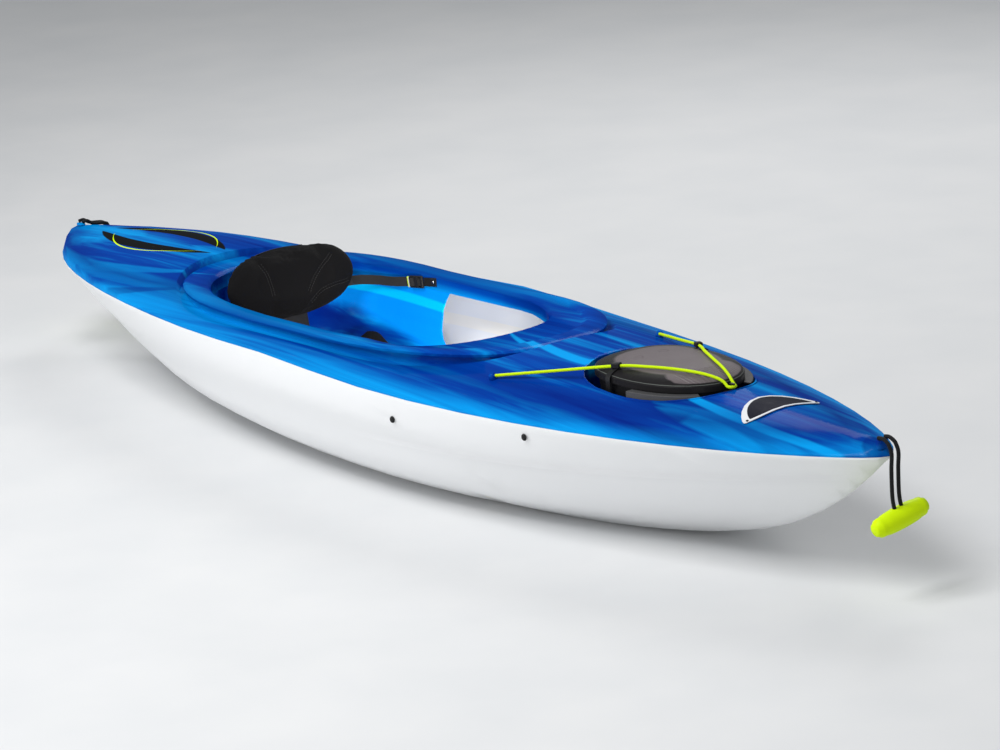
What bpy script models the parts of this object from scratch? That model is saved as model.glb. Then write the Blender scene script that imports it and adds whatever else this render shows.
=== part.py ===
"""Recreational sit-in kayak, built as an assembly of separate pieces.

Metres. +X is the bow, +Y is port, +Z is up. The origin is under the middle of
the hull, on the floor that the keel rests on.
"""

import math

import bmesh
import bpy
from mathutils import Matrix, Vector
from mathutils.bvhtree import BVHTree

# Hull and deck
LENGTH = 3.05
BEAM = 0.71
HULL_DEPTH = 0.252
SHEET = 0.004
GAP = 0.0003
WIDEST_X = 0.05
BOW_SEAM_HEIGHT = 0.276
STERN_SEAM_HEIGHT = 0.222
STEM_FOOT_X = 0.55
STERNPOST_FOOT_X = -0.75
STEM_POWER = 3.3
NOSE_RADIUS = 0.009
FLAT_KEEL_SHARE = 0.25
ROCKER_POWER = 2.6
SHEER_POWER = 1.6
SEAM_HUMP = 0.010
SEAM_HUMP_X = -0.12
SEAM_HUMP_REACH = 0.22
SEAM_BAND = 0.004
STERN_SHOULDER_RISE = 0.016
RIDGE_PEAK = 0.332
RIDGE_PEAK_X = 0.54
RIDGE_BOW = 0.300
RIDGE_COCKPIT_REAR = 0.305
RIDGE_STERN = 0.268
AROUND = 56

# Cockpit: the coaming's lip, its inner edge and the seat liner
COCKPIT_CENTRE_X = -0.30
LIP_FRONT = 0.79
LIP_REAR = 0.52
LIP_HALF = 0.27
LIP_FRONT_SHAPE = (4.0, 0.42)
LIP_REAR_SHAPE = (2.8, 0.48)
EDGE_FRONT = 0.58
EDGE_REAR = 0.435
EDGE_HALF = 0.222
EDGE_FRONT_SHAPE = (5.3, 0.42)
EDGE_REAR_SHAPE = (2.8, 0.46)
RIM_REAR_HEIGHT = 0.293
RIM_FRONT_HEIGHT = 0.320
LIP_THICKNESS = 0.010
DASH_DEPTH = 0.012
DASH_START_X = 0.05
COAMING_WALL = 0.036
GUTTER_DEPTH = 0.009
GUTTER_BELOW_LIP = 0.008
PAN_HEIGHT = 0.07
PAN_CENTRE_X = -0.43
PAN_HALF = 0.09
PAN_FRONT = 0.34
PAN_REAR = 0.22
LEG_OPENING_X = -0.213
LEG_OPENING_Z = 0.205
LEG_OPENING_RADIUS = 0.065
LINER_FRONT_X = -0.16
LEG_OPENING_FLOOR = 0.13

# Seat
SEAT_PAD_WIDTH = 0.368
SEAT_PAD_CROWN = 0.026
SEAT_PAD_BOLSTER = 0.05
BACK_PIVOT_X = -0.564
BACK_PIVOT_Z = 0.105
BRACKET_LENGTH = 0.04
SEAT_PAD_FRONT_X = -0.265
SEAT_PAD_REAR_X = BACK_PIVOT_X + BRACKET_LENGTH / 2 + 0.002
SEAT_PAD_LENGTH = SEAT_PAD_FRONT_X - SEAT_PAD_REAR_X
SEAT_PAD_CENTRE_X = (SEAT_PAD_FRONT_X + SEAT_PAD_REAR_X) / 2
BACK_LEAN = math.radians(9)
BACK_CENTRE_UP = 0.173
BACK_HEIGHT = 0.178
BACK_WIDTH = 0.35
BACK_WRAP = 0.032
BACK_ROUNDNESS = 0.93
BACK_LOWER_NARROWING = 0.07
TONGUE_WIDTH = 0.10
BARREL_RADIUS = 0.008
PIN_RADIUS = 0.004
BACK_SHELL = 0.004
BACK_PAD = 0.034
SEAM_GROOVE = 0.006
STRAP_WIDTH = 0.022
STRAP_THICKNESS = 0.0018
STRAP_HEIGHT_Z = 0.275
STRAP_FALL = 0.13
STRAP_BACK_UP = 0.142
ANCHOR_X = -0.309
TAB_LENGTH = 0.036
BUCKLE_LENGTH = 0.05
RIVET_RADIUS = 0.004

# Storage pod
POD_CENTRE_X = 0.85
POD_FRONT = 0.185
POD_REAR = 0.165
POD_HALF = 0.125
POD_WALL = 0.003
POD_FLOOR_HEIGHT = 0.205
POD_RIM_HEIGHT = 0.325
LID_SKIRT = 0.0075
LID_DOME = 0.018
POD_TAPER = 0.02
WELL_MARGIN = 0.02
WELL_TAPER = 0.008
WELL_LIP = 0.002
GRIP_REACH = 0.0165
GRIP_WALL = 0.003
GRIP_TOP_Z = 0.317
GRIP_DROP = 0.017
GRIP_START = math.radians(27)
GRIP_END = math.radians(80)
HOOK_X = 1.048
HOOK_RADIUS = 0.0035
HOOK_WIDTH = 0.014
TURN_RADIUS = 0.0088
TURN_Z = POD_RIM_HEIGHT + 0.0025

# Cords
BUNGEE_DIAMETER = 0.0065
BUNGEE_EYE_X = 0.534
BUNGEE_EYE_Y = 0.214
BUNGEE_EYE_RADIUS = 0.0085
BUNGEE_EYE_BORE_HEIGHT = 0.0065
CLIP_X = 0.812
CLIP_Y = 0.104
HANDLE_CORD_DIAMETER = 0.008
STRAND_OFFSET = 0.0085
HANDLE_EYE_INSET = 0.020
STERN_EYE_INSET = 0.0315
STERN_EDGE = 0.058
STERN_TOGGLE_OUT = 0.047
BOW_TOGGLE_TILT = math.radians(11)
EYE_HALF_WIDTH = 0.009
EYE_HALF_LENGTH = 0.0135
EYE_THICKNESS = 0.004
TOGGLE_LENGTH = 0.13
TOGGLE_RADIUS = 0.0225
TOGGLE_OVERHANG = 0.023
TOGGLE_DROP = 0.15
STERN_TOGGLE_DROP = 0.135

# Foot braces
RAIL_AFT_X = 0.34
RAIL_AFT_Z = 0.20
RAIL_FORE_X = 0.741
RAIL_FORE_Z = 0.228
RAIL_END = 0.014
RAIL_THICKNESS = 0.012
RAIL_HEIGHT = 0.032
RAIL_STANDOFF = 0.02
FOOT_RADIUS = 0.009
SCREW_RADIUS = 0.003
SCREW_HEAD_RADIUS = 0.0075
SLIDE_CLEARANCE = 0.0005
CARRIAGE_LENGTH = 0.07
CARRIAGE_WALL = 0.005
PEDAL_WIDTH = 0.085
PEDAL_HEIGHT = 0.115
PEDAL_DROP = 0.008
PEDAL_THICKNESS = 0.012
LEVER_LENGTH = 0.05
LEVER_THICKNESS = 0.007

# Small fittings
BADGE_X = 1.205
BADGE_LENGTH = 0.19
BADGE_AFT_BOW = 0.072
BADGE_FORE_BOW = 0.012
BADGE_END_RADIUS = 0.009
BADGE_THICKNESS = 0.0012
PLUG_X = -1.34
PLUG_Z = 0.19
PLUG_RADIUS = 0.009
PLUG_HEAD_RADIUS = 0.017
FOAM_HEIGHT = 0.21

UP = Vector((0, 0, 1))
SHARPEST_BEND = math.radians(26)


def clear_scene():
    for thing in list(bpy.data.objects):
        bpy.data.objects.remove(thing, do_unlink=True)


def material(name, colour, roughness, metallic=0.0):
    made = bpy.data.materials.new(name)
    made.use_nodes = True
    shader = made.node_tree.nodes["Principled BSDF"]
    shader.inputs["Base Color"].default_value = (*colour, 1)
    shader.inputs["Roughness"].default_value = roughness
    shader.inputs["Metallic"].default_value = metallic
    return made


def finish(name, bm, colour, origin=(0, 0, 0), recalculate=True):
    """The mesh as a named object whose origin is at the given world point."""
    if recalculate:
        bmesh.ops.recalc_face_normals(bm, faces=bm.faces)
        if bm.calc_volume(signed=True) < 0:
            bmesh.ops.reverse_faces(bm, faces=bm.faces)
    bmesh.ops.translate(bm, vec=-Vector(origin), verts=bm.verts)
    mesh = bpy.data.meshes.new(name)
    bm.to_mesh(mesh)
    bm.free()
    mesh.shade_smooth()
    mesh.set_sharp_from_angle(angle=math.radians(35))
    made = bpy.data.objects.new(name, mesh)
    made.location = origin
    made.data.materials.append(colour)
    bpy.context.scene.collection.objects.link(made)
    return made


def combine(target, bm, operation, name):
    """Adds a Boolean of the mesh in bm to the target, and keeps it as a hidden guide."""
    guide = finish(f"{name}_guide", bm, target.data.materials[0])
    guide.hide_render = True
    guide.display_type = "WIRE"
    modifier = target.modifiers.new(name, "BOOLEAN")
    modifier.operation = operation
    modifier.object = guide


def solidify(target, thickness):
    modifier = target.modifiers.new("wall", "SOLIDIFY")
    modifier.thickness = thickness
    modifier.offset = -1
    modifier.use_even_offset = True
    modifier.use_quality_normals = True


def surface_tree(target):
    bpy.context.view_layer.update()
    return BVHTree.FromObject(target, bpy.context.evaluated_depsgraph_get())


def loft(bm, sections, closed=True, caps=True):
    """Quads between one section's points and the next one's, with a face over each end."""
    rows = [[bm.verts.new(point) for point in section] for section in sections]
    count = len(rows[0])
    for first, second in zip(rows, rows[1:]):
        for i in range(count if closed else count - 1):
            j = (i + 1) % count
            bm.faces.new((first[i], first[j], second[j], second[i]))
    if caps:
        bm.faces.new(rows[0][::-1])
        bm.faces.new(rows[-1])
    return rows


def turned(bm, profile, place, steps=16):
    """A profile of (radius, height) points, first and last on the axis, turned about local Z."""
    points = [bm.verts.new((radius, 0, height)) for radius, height in profile]
    edges = [bm.edges.new(pair) for pair in zip(points, points[1:])]
    bmesh.ops.spin(
        bm,
        geom=points + edges,
        cent=(0, 0, 0),
        axis=(0, 0, 1),
        angle=2 * math.pi,
        steps=steps,
        use_merge=True,
    )
    bmesh.ops.remove_doubles(bm, verts=bm.verts, dist=1e-6)
    bmesh.ops.transform(bm, matrix=place, verts=bm.verts)


def block(bm, size, place, bevel=0.0):
    made = bmesh.ops.create_cube(bm, size=1, matrix=place @ Matrix.Diagonal((*size, 1)))
    if bevel:
        edges = {edge for vert in made["verts"] for edge in vert.link_edges}
        bmesh.ops.bevel(
            bm, geom=list(edges), offset=bevel, segments=1, profile=0.5, affect="EDGES"
        )


def frame_at(origin, x_axis, z_axis):
    """A placement with its X and Z axes along the given directions, Z squared to X."""
    x_axis = Vector(x_axis).normalized()
    y_axis = Vector(z_axis).cross(x_axis).normalized()
    z_axis = x_axis.cross(y_axis)
    place = Matrix((x_axis, y_axis, z_axis)).transposed().to_4x4()
    place.translation = origin
    return place


def along(origin, direction):
    """A placement whose Z axis points along the direction."""
    place = Vector(direction).to_track_quat("Z", "Y").to_matrix().to_4x4()
    place.translation = origin
    return place


def rod(radius, start, end, steps=12):
    bm = bmesh.new()
    start, end = Vector(start), Vector(end)
    length = (end - start).length
    turned(bm, ((0, 0), (radius, 0), (radius, length), (0, length)), along(start, end - start), steps)
    return bm


def tube(name, route, diameter, step, colour, origin=(0, 0, 0)):
    """A round cord on a smooth curve through the route's points, as one poly spline."""
    points = smooth_route([Vector(point) for point in route], step)
    curve = bpy.data.curves.new(name, "CURVE")
    curve.dimensions = "3D"
    curve.bevel_depth = diameter / 2
    curve.bevel_resolution = 2
    curve.use_fill_caps = True
    spline = curve.splines.new("POLY")
    spline.points.add(len(points) - 1)
    for target, point in zip(spline.points, points):
        target.co = (*(point - Vector(origin)), 1)
    made = bpy.data.objects.new(name, curve)
    made.location = origin
    made.data.materials.append(colour)
    bpy.context.scene.collection.objects.link(made)
    return made


def smooth_route(route, step):
    """Points a step apart, or closer in a bend, on the Catmull-Rom curve through the route."""
    fine = []
    ends = [2 * route[0] - route[1], *route, 2 * route[-1] - route[-2]]
    for before, start, end, after in zip(ends, ends[1:], ends[2:], ends[3:]):
        for part in range(12):
            t = part / 12
            fine.append(
                0.5
                * (
                    2 * start
                    + (end - before) * t
                    + (2 * before - 5 * start + 4 * end - after) * t**2
                    + (3 * start - before - 3 * end + after) * t**3
                )
            )
    fine.append(route[-1])
    points = [fine[0]]
    heading = (fine[1] - fine[0]).normalized()
    for here, ahead in zip(fine[1:], fine[2:]):
        turned_to = (ahead - here).normalized()
        far = (here - points[-1]).length
        if far >= step or (heading.angle(turned_to) > SHARPEST_BEND and far > step / 6):
            points.append(here)
            heading = turned_to
    if (fine[-1] - points[-1]).length < step / 6:
        points.pop()
    points.append(fine[-1])
    return points


def smoothstep(low, high, value):
    t = min(1.0, max(0.0, (value - low) / (high - low)))
    return t * t * (3 - 2 * t)


def egg(centre, front, rear, half, front_shape, rear_shape, nose=0.0, count=AROUND):
    """(x, y, share of reach) around an outline that can be finer at one end.

    Each shape is (power, fullness): half width is half * (1 - share**power) ** fullness.
    """
    points = []
    for i in range(count):
        turn = 2 * math.pi * i / count
        reach, (power, fullness) = (front, front_shape) if math.cos(turn) >= 0 else (-rear, rear_shape)
        sine = abs(math.sin(turn))
        share = abs(math.cos(turn)) ** (2 / power)
        width = (half - nose) * sine ** (2 * fullness)
        width += nose * math.sqrt(min(1.0, sine / math.sin(4 * math.pi / count)))
        points.append((centre + reach * share, math.copysign(width, math.sin(turn)), share))
    points[0] = (centre + front, 0.0, 1.0)
    points[count // 2] = (centre - rear, 0.0, 1.0)
    return points


# Hull lines
BOW_SHAPE = (2.1, 0.80)
STERN_SHAPE = (2.1, 0.67)
FINER_PER_LEVEL = 0.45

# Levels from the seam down to the tunnel between the two keel arches: share of the half
# beam, share of the depth amidships, share of the seam's height where it meets the stem.
LEVELS = (
    (1.0, 1.0, 1.0),
    (0.998, 0.93, 0.937),
    (0.988, 0.80, 0.82),
    (0.968, 0.67, 0.70),
    (0.928, 0.585, 0.61),
    (0.902, 0.42, 0.465),
    (0.82, 0.22, 0.30),
    (0.68, 0.085, 0.18),
    (0.48, 0.0, 0.10),
    (0.30, 0.0, 0.05),
    (0.14, 0.05, 0.015),
)


def end_height(share, rise, depth_share):
    flat = max(0.0, (share - FLAT_KEEL_SHARE) / (1 - FLAT_KEEL_SHARE))
    return rise * flat ** (ROCKER_POWER + (SHEER_POWER - ROCKER_POWER) * depth_share)


def seam_hump(x):
    """How far the seam bows up beside the cockpit."""
    return SEAM_HUMP * math.exp(-(((x - SEAM_HUMP_X) / SEAM_HUMP_REACH) ** 2))


def hull_ring(half_share, depth_share, end_share, lift=0.0):
    bow = STEM_FOOT_X + (LENGTH / 2 - STEM_FOOT_X) * end_share ** (1 / STEM_POWER)
    stern = STERNPOST_FOOT_X - (LENGTH / 2 + STERNPOST_FOOT_X) * end_share ** (1 / STEM_POWER)
    finer = FINER_PER_LEVEL * (1 - depth_share) if depth_share > 0 else 0.0
    outline = egg(
        WIDEST_X,
        bow - WIDEST_X,
        WIDEST_X - stern,
        BEAM / 2 * half_share,
        (BOW_SHAPE[0], BOW_SHAPE[1] + finer),
        (STERN_SHAPE[0], STERN_SHAPE[1] + finer),
        NOSE_RADIUS,
    )
    middle = HULL_DEPTH * depth_share
    ring = []
    for x, y, share in outline:
        top = BOW_SEAM_HEIGHT if x > WIDEST_X else STERN_SEAM_HEIGHT
        height = middle + end_height(share, top * end_share - middle, depth_share)
        height += seam_hump(x) * depth_share**3
        ring.append(Vector((x, y, height + lift)))
    return ring


def hull_half_width(x):
    """Half the beam at the seam, as the hull's outline has it."""
    bow = x >= WIDEST_X
    reach = LENGTH / 2 - WIDEST_X if bow else LENGTH / 2 + WIDEST_X
    power, fullness = BOW_SHAPE if bow else STERN_SHAPE
    share = min(1.0, abs(x - WIDEST_X) / reach)
    return NOSE_RADIUS + (BEAM / 2 - NOSE_RADIUS) * (1 - share**power) ** fullness


def seam_height(x):
    bow = x >= WIDEST_X
    reach = LENGTH / 2 - WIDEST_X if bow else LENGTH / 2 + WIDEST_X
    rise = (BOW_SEAM_HEIGHT if bow else STERN_SEAM_HEIGHT) - HULL_DEPTH
    share = min(1.0, abs(x - WIDEST_X) / reach)
    return HULL_DEPTH + end_height(share, rise, 1.0) + seam_hump(x)


def ridge_height(x):
    """Height of the deck's centre line."""
    rear = COCKPIT_CENTRE_X - LIP_REAR
    if x > RIDGE_PEAK_X:
        forward = (x - RIDGE_PEAK_X) / (LENGTH / 2 - RIDGE_PEAK_X)
        return RIDGE_PEAK + (RIDGE_BOW - RIDGE_PEAK) * forward**1.6
    if x > rear:
        return RIDGE_COCKPIT_REAR + (RIDGE_PEAK - RIDGE_COCKPIT_REAR) * smoothstep(-0.4, RIDGE_PEAK_X, x)
    astern = (rear - x) / (LENGTH / 2 + rear)
    return RIDGE_COCKPIT_REAR + (RIDGE_STERN - RIDGE_COCKPIT_REAR) * astern**1.6


def deck_height(x, y):
    astern = 1 - smoothstep(-1.2, -0.5, x)
    shoulder = seam_height(x) + SEAM_BAND + STERN_SHOULDER_RISE * astern
    crown_power = 1.7 + 1.5 * astern
    share = min(1.0, abs(y) / hull_half_width(x))
    return shoulder + (ridge_height(x) - shoulder) * (1 - share**crown_power)


def rim_height(x):
    front = COCKPIT_CENTRE_X + LIP_FRONT
    return RIM_REAR_HEIGHT + (RIM_FRONT_HEIGHT - RIM_REAR_HEIGHT) * smoothstep(-0.3, front, x)


def edge_height(x):
    """Height of the coaming's inner edge, which dips under the knees."""
    return rim_height(x) - DASH_DEPTH * smoothstep(DASH_START_X, DASH_START_X + 0.15, x)


def lip_outline(grow):
    front, rear = LIP_FRONT + grow, LIP_REAR + grow
    return egg(COCKPIT_CENTRE_X, front, rear, LIP_HALF + grow, LIP_FRONT_SHAPE, LIP_REAR_SHAPE)


def edge_outline(grow):
    front, rear = EDGE_FRONT + grow, EDGE_REAR + grow
    return egg(COCKPIT_CENTRE_X, front, rear, EDGE_HALF + grow, EDGE_FRONT_SHAPE, EDGE_REAR_SHAPE)


def pod_outline(grow, count=32):
    return egg(
        POD_CENTRE_X,
        POD_FRONT + grow,
        POD_REAR + grow,
        POD_HALF + grow,
        (2.0, 0.5),
        (2.8, 0.42),
        count=count,
    )


def upward(target):
    """Turns an open skin over if its faces point down."""
    mesh = target.data
    if sum(face.normal.z * face.area for face in mesh.polygons) < 0:
        mesh.flip_normals()


def make_hull(colour):
    bm = bmesh.new()
    flange = [hull_ring(*LEVELS[0]), hull_ring(*LEVELS[0], lift=-SHEET)]
    rows = loft(bm, flange + [hull_ring(*level) for level in LEVELS[1:]], caps=False)
    last = rows[-1]
    for i in range(AROUND // 2):
        corners = [last[i], last[i + 1], last[(AROUND - i - 1) % AROUND], last[(AROUND - i) % AROUND]]
        bm.faces.new(list(dict.fromkeys(corners)))
    hull = finish("hull", bm, colour)
    if sum(face.normal.z * face.area for face in hull.data.polygons) > 0:
        hull.data.flip_normals()
    solidify(hull, SHEET)
    return hull


def deck_rings():
    seam = hull_ring(*LEVELS[0], lift=GAP)
    rings = [seam, [point + UP * SEAM_BAND for point in seam]]
    gutter = [Vector((x, y, 0)) for x, y, _ in lip_outline(0.018)]
    for inward in (0.025, 0.09, 0.2, 0.36, 0.54, 0.74, 1.0):
        ring = [outer.lerp(inner, inward) for outer, inner in zip(seam, gutter)]
        rings.append([Vector((p.x, p.y, deck_height(p.x, p.y))) for p in ring])
    for grow in (0.008, -0.008):
        ring = []
        for x, y, _ in lip_outline(grow):
            low = rim_height(x) - LIP_THICKNESS - GUTTER_BELOW_LIP
            ring.append(Vector((x, y, min(low, deck_height(x, y) - GUTTER_DEPTH))))
        rings.append(ring)
    for grow, drop in ((-0.010, LIP_THICKNESS + 0.001), (-0.001, LIP_THICKNESS), (0, 0.004), (-0.006, 0)):
        rings.append([Vector((x, y, rim_height(x) - drop)) for x, y, _ in lip_outline(grow)])
    outer, inner = lip_outline(-0.007), edge_outline(0.008)
    for share, dip in ((0.28, 0.0), (0.42, 0.85)):
        ring = []
        for a, b in zip(outer, inner):
            x, y = a[0] + (b[0] - a[0]) * share, a[1] + (b[1] - a[1]) * share
            ring.append(Vector((x, y, rim_height(x) * (1 - dip) + edge_height(x) * dip)))
        rings.append(ring)
    for grow, drop in ((0.008, 0.0), (0, 0.008), (0, COAMING_WALL)):
        rings.append([Vector((x, y, edge_height(x) - drop)) for x, y, _ in edge_outline(grow)])
    return rings


def make_deck(colour):
    bm = bmesh.new()
    loft(bm, deck_rings(), caps=False)
    deck = finish("deck", bm, colour)
    upward(deck)
    solidify(deck, SHEET)
    outer, core = bmesh.new(), bmesh.new()
    floor = POD_FLOOR_HEIGHT - GAP
    top = WELL_MARGIN + SHEET
    loft(
        outer,
        [
            [(x, y, floor - SHEET) for x, y, _ in pod_outline(top - WELL_TAPER)],
            [(x, y, deck_height(x, y) + WELL_LIP) for x, y, _ in pod_outline(top)],
        ],
    )
    loft(
        core,
        [
            [(x, y, floor) for x, y, _ in pod_outline(WELL_MARGIN - WELL_TAPER)],
            [(x, y, deck_height(x, y)) for x, y, _ in pod_outline(WELL_MARGIN)],
            [(x, y, deck_height(x, y) + 0.03) for x, y, _ in pod_outline(WELL_MARGIN)],
        ],
    )
    combine(deck, outer, "UNION", "pod_well_walls")
    combine(deck, core, "DIFFERENCE", "pod_well_inside")
    return deck


def liner_rings():
    """The seat liner's skin, from the coaming wall's lower edge down to the pan."""
    rings = []
    top = COAMING_WALL + GAP
    for drop in (top, top + 0.02):
        rings.append([Vector((x, y, edge_height(x) - drop)) for x, y, _ in edge_outline(0)])
    for grow, height in ((-0.008, 0.195), (-0.030, 0.145), (-0.052, 0.102), (-0.088, 0.076)):
        rings.append([Vector((x, y, height)) for x, y, _ in edge_outline(grow)])
    pan = egg(PAN_CENTRE_X, PAN_FRONT, PAN_REAR, PAN_HALF, (2.6, 0.42), (2.6, 0.45))
    rings.append([Vector((x, y, PAN_HEIGHT)) for x, y, _ in pan])
    return rings


def make_liner(colour):
    bm = bmesh.new()
    rows = loft(bm, liner_rings(), caps=False)
    last = rows[-1]
    for i in range(AROUND // 2):
        corners = [last[i], last[i + 1], last[(AROUND - i - 1) % AROUND], last[(AROUND - i) % AROUND]]
        bm.faces.new(list(dict.fromkeys(corners)))
    liner = finish("seat_liner", bm, colour)
    upward(liner)
    solidify(liner, SHEET)
    profile = [(LINER_FRONT_X, 0.0), (LINER_FRONT_X, LEG_OPENING_FLOOR)]
    for step in range(9):
        turn = math.radians(250 - 160 * step / 8)
        profile.append(
            (
                LEG_OPENING_X + LEG_OPENING_RADIUS * math.cos(turn),
                LEG_OPENING_Z + LEG_OPENING_RADIUS * math.sin(turn),
            )
        )
    profile += [(LEG_OPENING_X + 0.01, 0.5), (0.6, 0.5), (0.6, 0.0)]
    cutter = bmesh.new()
    loft(cutter, [[(x, side * 0.3, z) for x, z in profile] for side in (-1, 1)])
    combine(liner, cutter, "DIFFERENCE", "leg_opening")
    return liner


def cushion(name, place, columns, rows, colour, origin):
    """A closed pad: place(across, up, face) gives the point for -1..1, -1..1 and front or back."""
    bm = bmesh.new()
    for face in (1, -1):
        made = bmesh.ops.create_grid(bm, x_segments=columns, y_segments=rows, size=1)
        if face < 0:
            bmesh.ops.reverse_faces(bm, faces=list({f for v in made["verts"] for f in v.link_faces}))
        for vert in made["verts"]:
            vert.co = place(vert.co.x, vert.co.y, face)
    bmesh.ops.remove_doubles(bm, verts=bm.verts, dist=1e-5)
    return finish(name, bm, colour, origin)


def rounded(across, up, roundness):
    """A square of -1..1 drawn in to a rounded outline."""
    return (
        across * math.sqrt(1 - roundness * up * up / 2),
        up * math.sqrt(1 - roundness * across * across / 2),
    )


def pillow(across, up):
    """1 over the middle of a pad, falling round to 0 at its edges."""
    return ((1 - across**4) * (1 - up**4)) ** 0.5


def make_seat_pad(colour, liner_tree):
    def place(across, up, face):
        wide, long = rounded(across, up, 0.55)
        drawn = 1 - 0.035 * (1 - up * up) * across * across
        x = SEAT_PAD_CENTRE_X + long * SEAT_PAD_LENGTH / 2
        y = wide * SEAT_PAD_WIDTH / 2 * drawn
        base = liner_tree.ray_cast(Vector((x, y, 0.28)), -UP)[0].z + GAP * 5
        if face < 0:
            return Vector((x, y, base))
        inner = 1 - max(abs(across), abs(up)) ** 12
        groove = SEAM_GROOVE * math.exp(-((abs(across) - 0.5) / 0.06) ** 2)
        crown = max(0.0, (SEAT_PAD_CROWN - groove) * pillow(across, up))
        beside = math.exp(-((abs(across) - 0.83) / 0.11) ** 2)
        bolster = SEAT_PAD_BOLSTER * beside * math.exp(-((up + 0.5) / 0.42) ** 2)
        return Vector((x, y, base + crown + (0.014 + bolster) * inner))

    return cushion("seat_pad", place, 18, 10, colour, (0, 0, 0))


def back_point(across, up, forward):
    """A point of the backrest: across and up in metres from the pivot, forward from its board's back."""
    wrap = BACK_WRAP * (2 * across / BACK_WIDTH) ** 2
    local = Vector((forward + wrap, across, up))
    return Vector((BACK_PIVOT_X, 0, BACK_PIVOT_Z)) + Matrix.Rotation(-BACK_LEAN, 3, "Y") @ local


def back_outline(across, up, shrink):
    wide, high = rounded(across, up, BACK_ROUNDNESS)
    narrow = 1 - BACK_LOWER_NARROWING * max(0.0, -up) ** 2
    return wide * (BACK_WIDTH / 2 - shrink) * narrow, BACK_CENTRE_UP + high * (BACK_HEIGHT / 2 - shrink)


def make_backrest(shell_colour, pad_colour, metal):
    origin = (BACK_PIVOT_X, 0, BACK_PIVOT_Z)

    def shell(across, up, face):
        y, z = back_outline(across, up, 0.012)
        return back_point(y, z, BACK_SHELL if face > 0 else 0)

    bm = bmesh.new()
    for face in (1, -1):
        made = bmesh.ops.create_grid(bm, x_segments=12, y_segments=6, size=1)
        for vert in made["verts"]:
            vert.co = shell(vert.co.x, vert.co.y, face)
    bmesh.ops.bridge_loops(bm, edges=[edge for edge in bm.edges if edge.is_boundary])
    board = finish("backrest_shell", bm, shell_colour, origin)
    tilt = Matrix.Translation(origin) @ Matrix.Rotation(-BACK_LEAN, 4, "Y")
    tongue_top = BACK_CENTRE_UP - BACK_HEIGHT / 2 + 0.05
    bm = bmesh.new()
    middle = Matrix.Translation((-0.0005, 0, tongue_top / 2))
    block(bm, (0.005, TONGUE_WIDTH, tongue_top), tilt @ middle, 0.001)
    combine(board, bm, "UNION", "backrest_tongue")
    half = TONGUE_WIDTH / 2
    pivot = Vector(origin)
    barrel = rod(BARREL_RADIUS, pivot - Vector((0, half, 0)), pivot + Vector((0, half, 0)), 16)
    combine(board, barrel, "UNION", "backrest_barrel")
    reach = Vector((0, half + 0.01, 0))
    combine(board, rod(PIN_RADIUS + GAP, pivot - reach, pivot + reach, 16), "DIFFERENCE", "backrest_bore")

    def pad(across, up, face):
        y, z = back_outline(across, up, 0.0)
        back = BACK_SHELL + GAP * 2
        if face < 0:
            return back_point(y, z, back)
        groove = math.exp(-(((abs(across) - 0.46 - 0.12 * up) / 0.06) ** 2))
        deep = pillow(across, up) * (BACK_PAD - SEAM_GROOVE * groove)
        return back_point(y, z, back + deep + 0.007 * (1 - max(abs(across), abs(up)) ** 12))

    cushion("backrest_pad", pad, 20, 12, pad_colour, origin)
    return pivot


def make_back_bracket(pivot, colour, metal, liner_tree):
    """Two cheeks on the liner's floor, joined by a base plate, with the pin through them."""
    floor = max(
        liner_tree.ray_cast(Vector((pivot.x + dx, dy, 0.2)), -UP)[0].z
        for dx in (-0.02, -0.01, 0, 0.01, 0.02)
        for dy in (-0.05, -0.04, 0, 0.04, 0.05)
    )
    base = floor + GAP * 2
    half = TONGUE_WIDTH / 2 + GAP * 2
    bm = bmesh.new()
    block(bm, (BRACKET_LENGTH, 2 * half + 0.012, 0.003), Matrix.Translation((pivot.x, 0, base + 0.0015)))
    bracket = finish("backrest_bracket", bm, colour)
    for side in (-1, 1):
        bm = bmesh.new()
        cheek = Matrix.Translation((pivot.x, side * (half + 0.003), (base + pivot.z + 0.008) / 2))
        block(bm, (0.024, 0.006, pivot.z + 0.008 - base), cheek)
        combine(bracket, bm, "UNION", f"bracket_cheek_{'port' if side > 0 else 'starboard'}")
    reach = Vector((0, half + 0.0055, 0))
    combine(bracket, rod(PIN_RADIUS, pivot - reach, pivot + reach, 16), "UNION", "backrest_pin")


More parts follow.
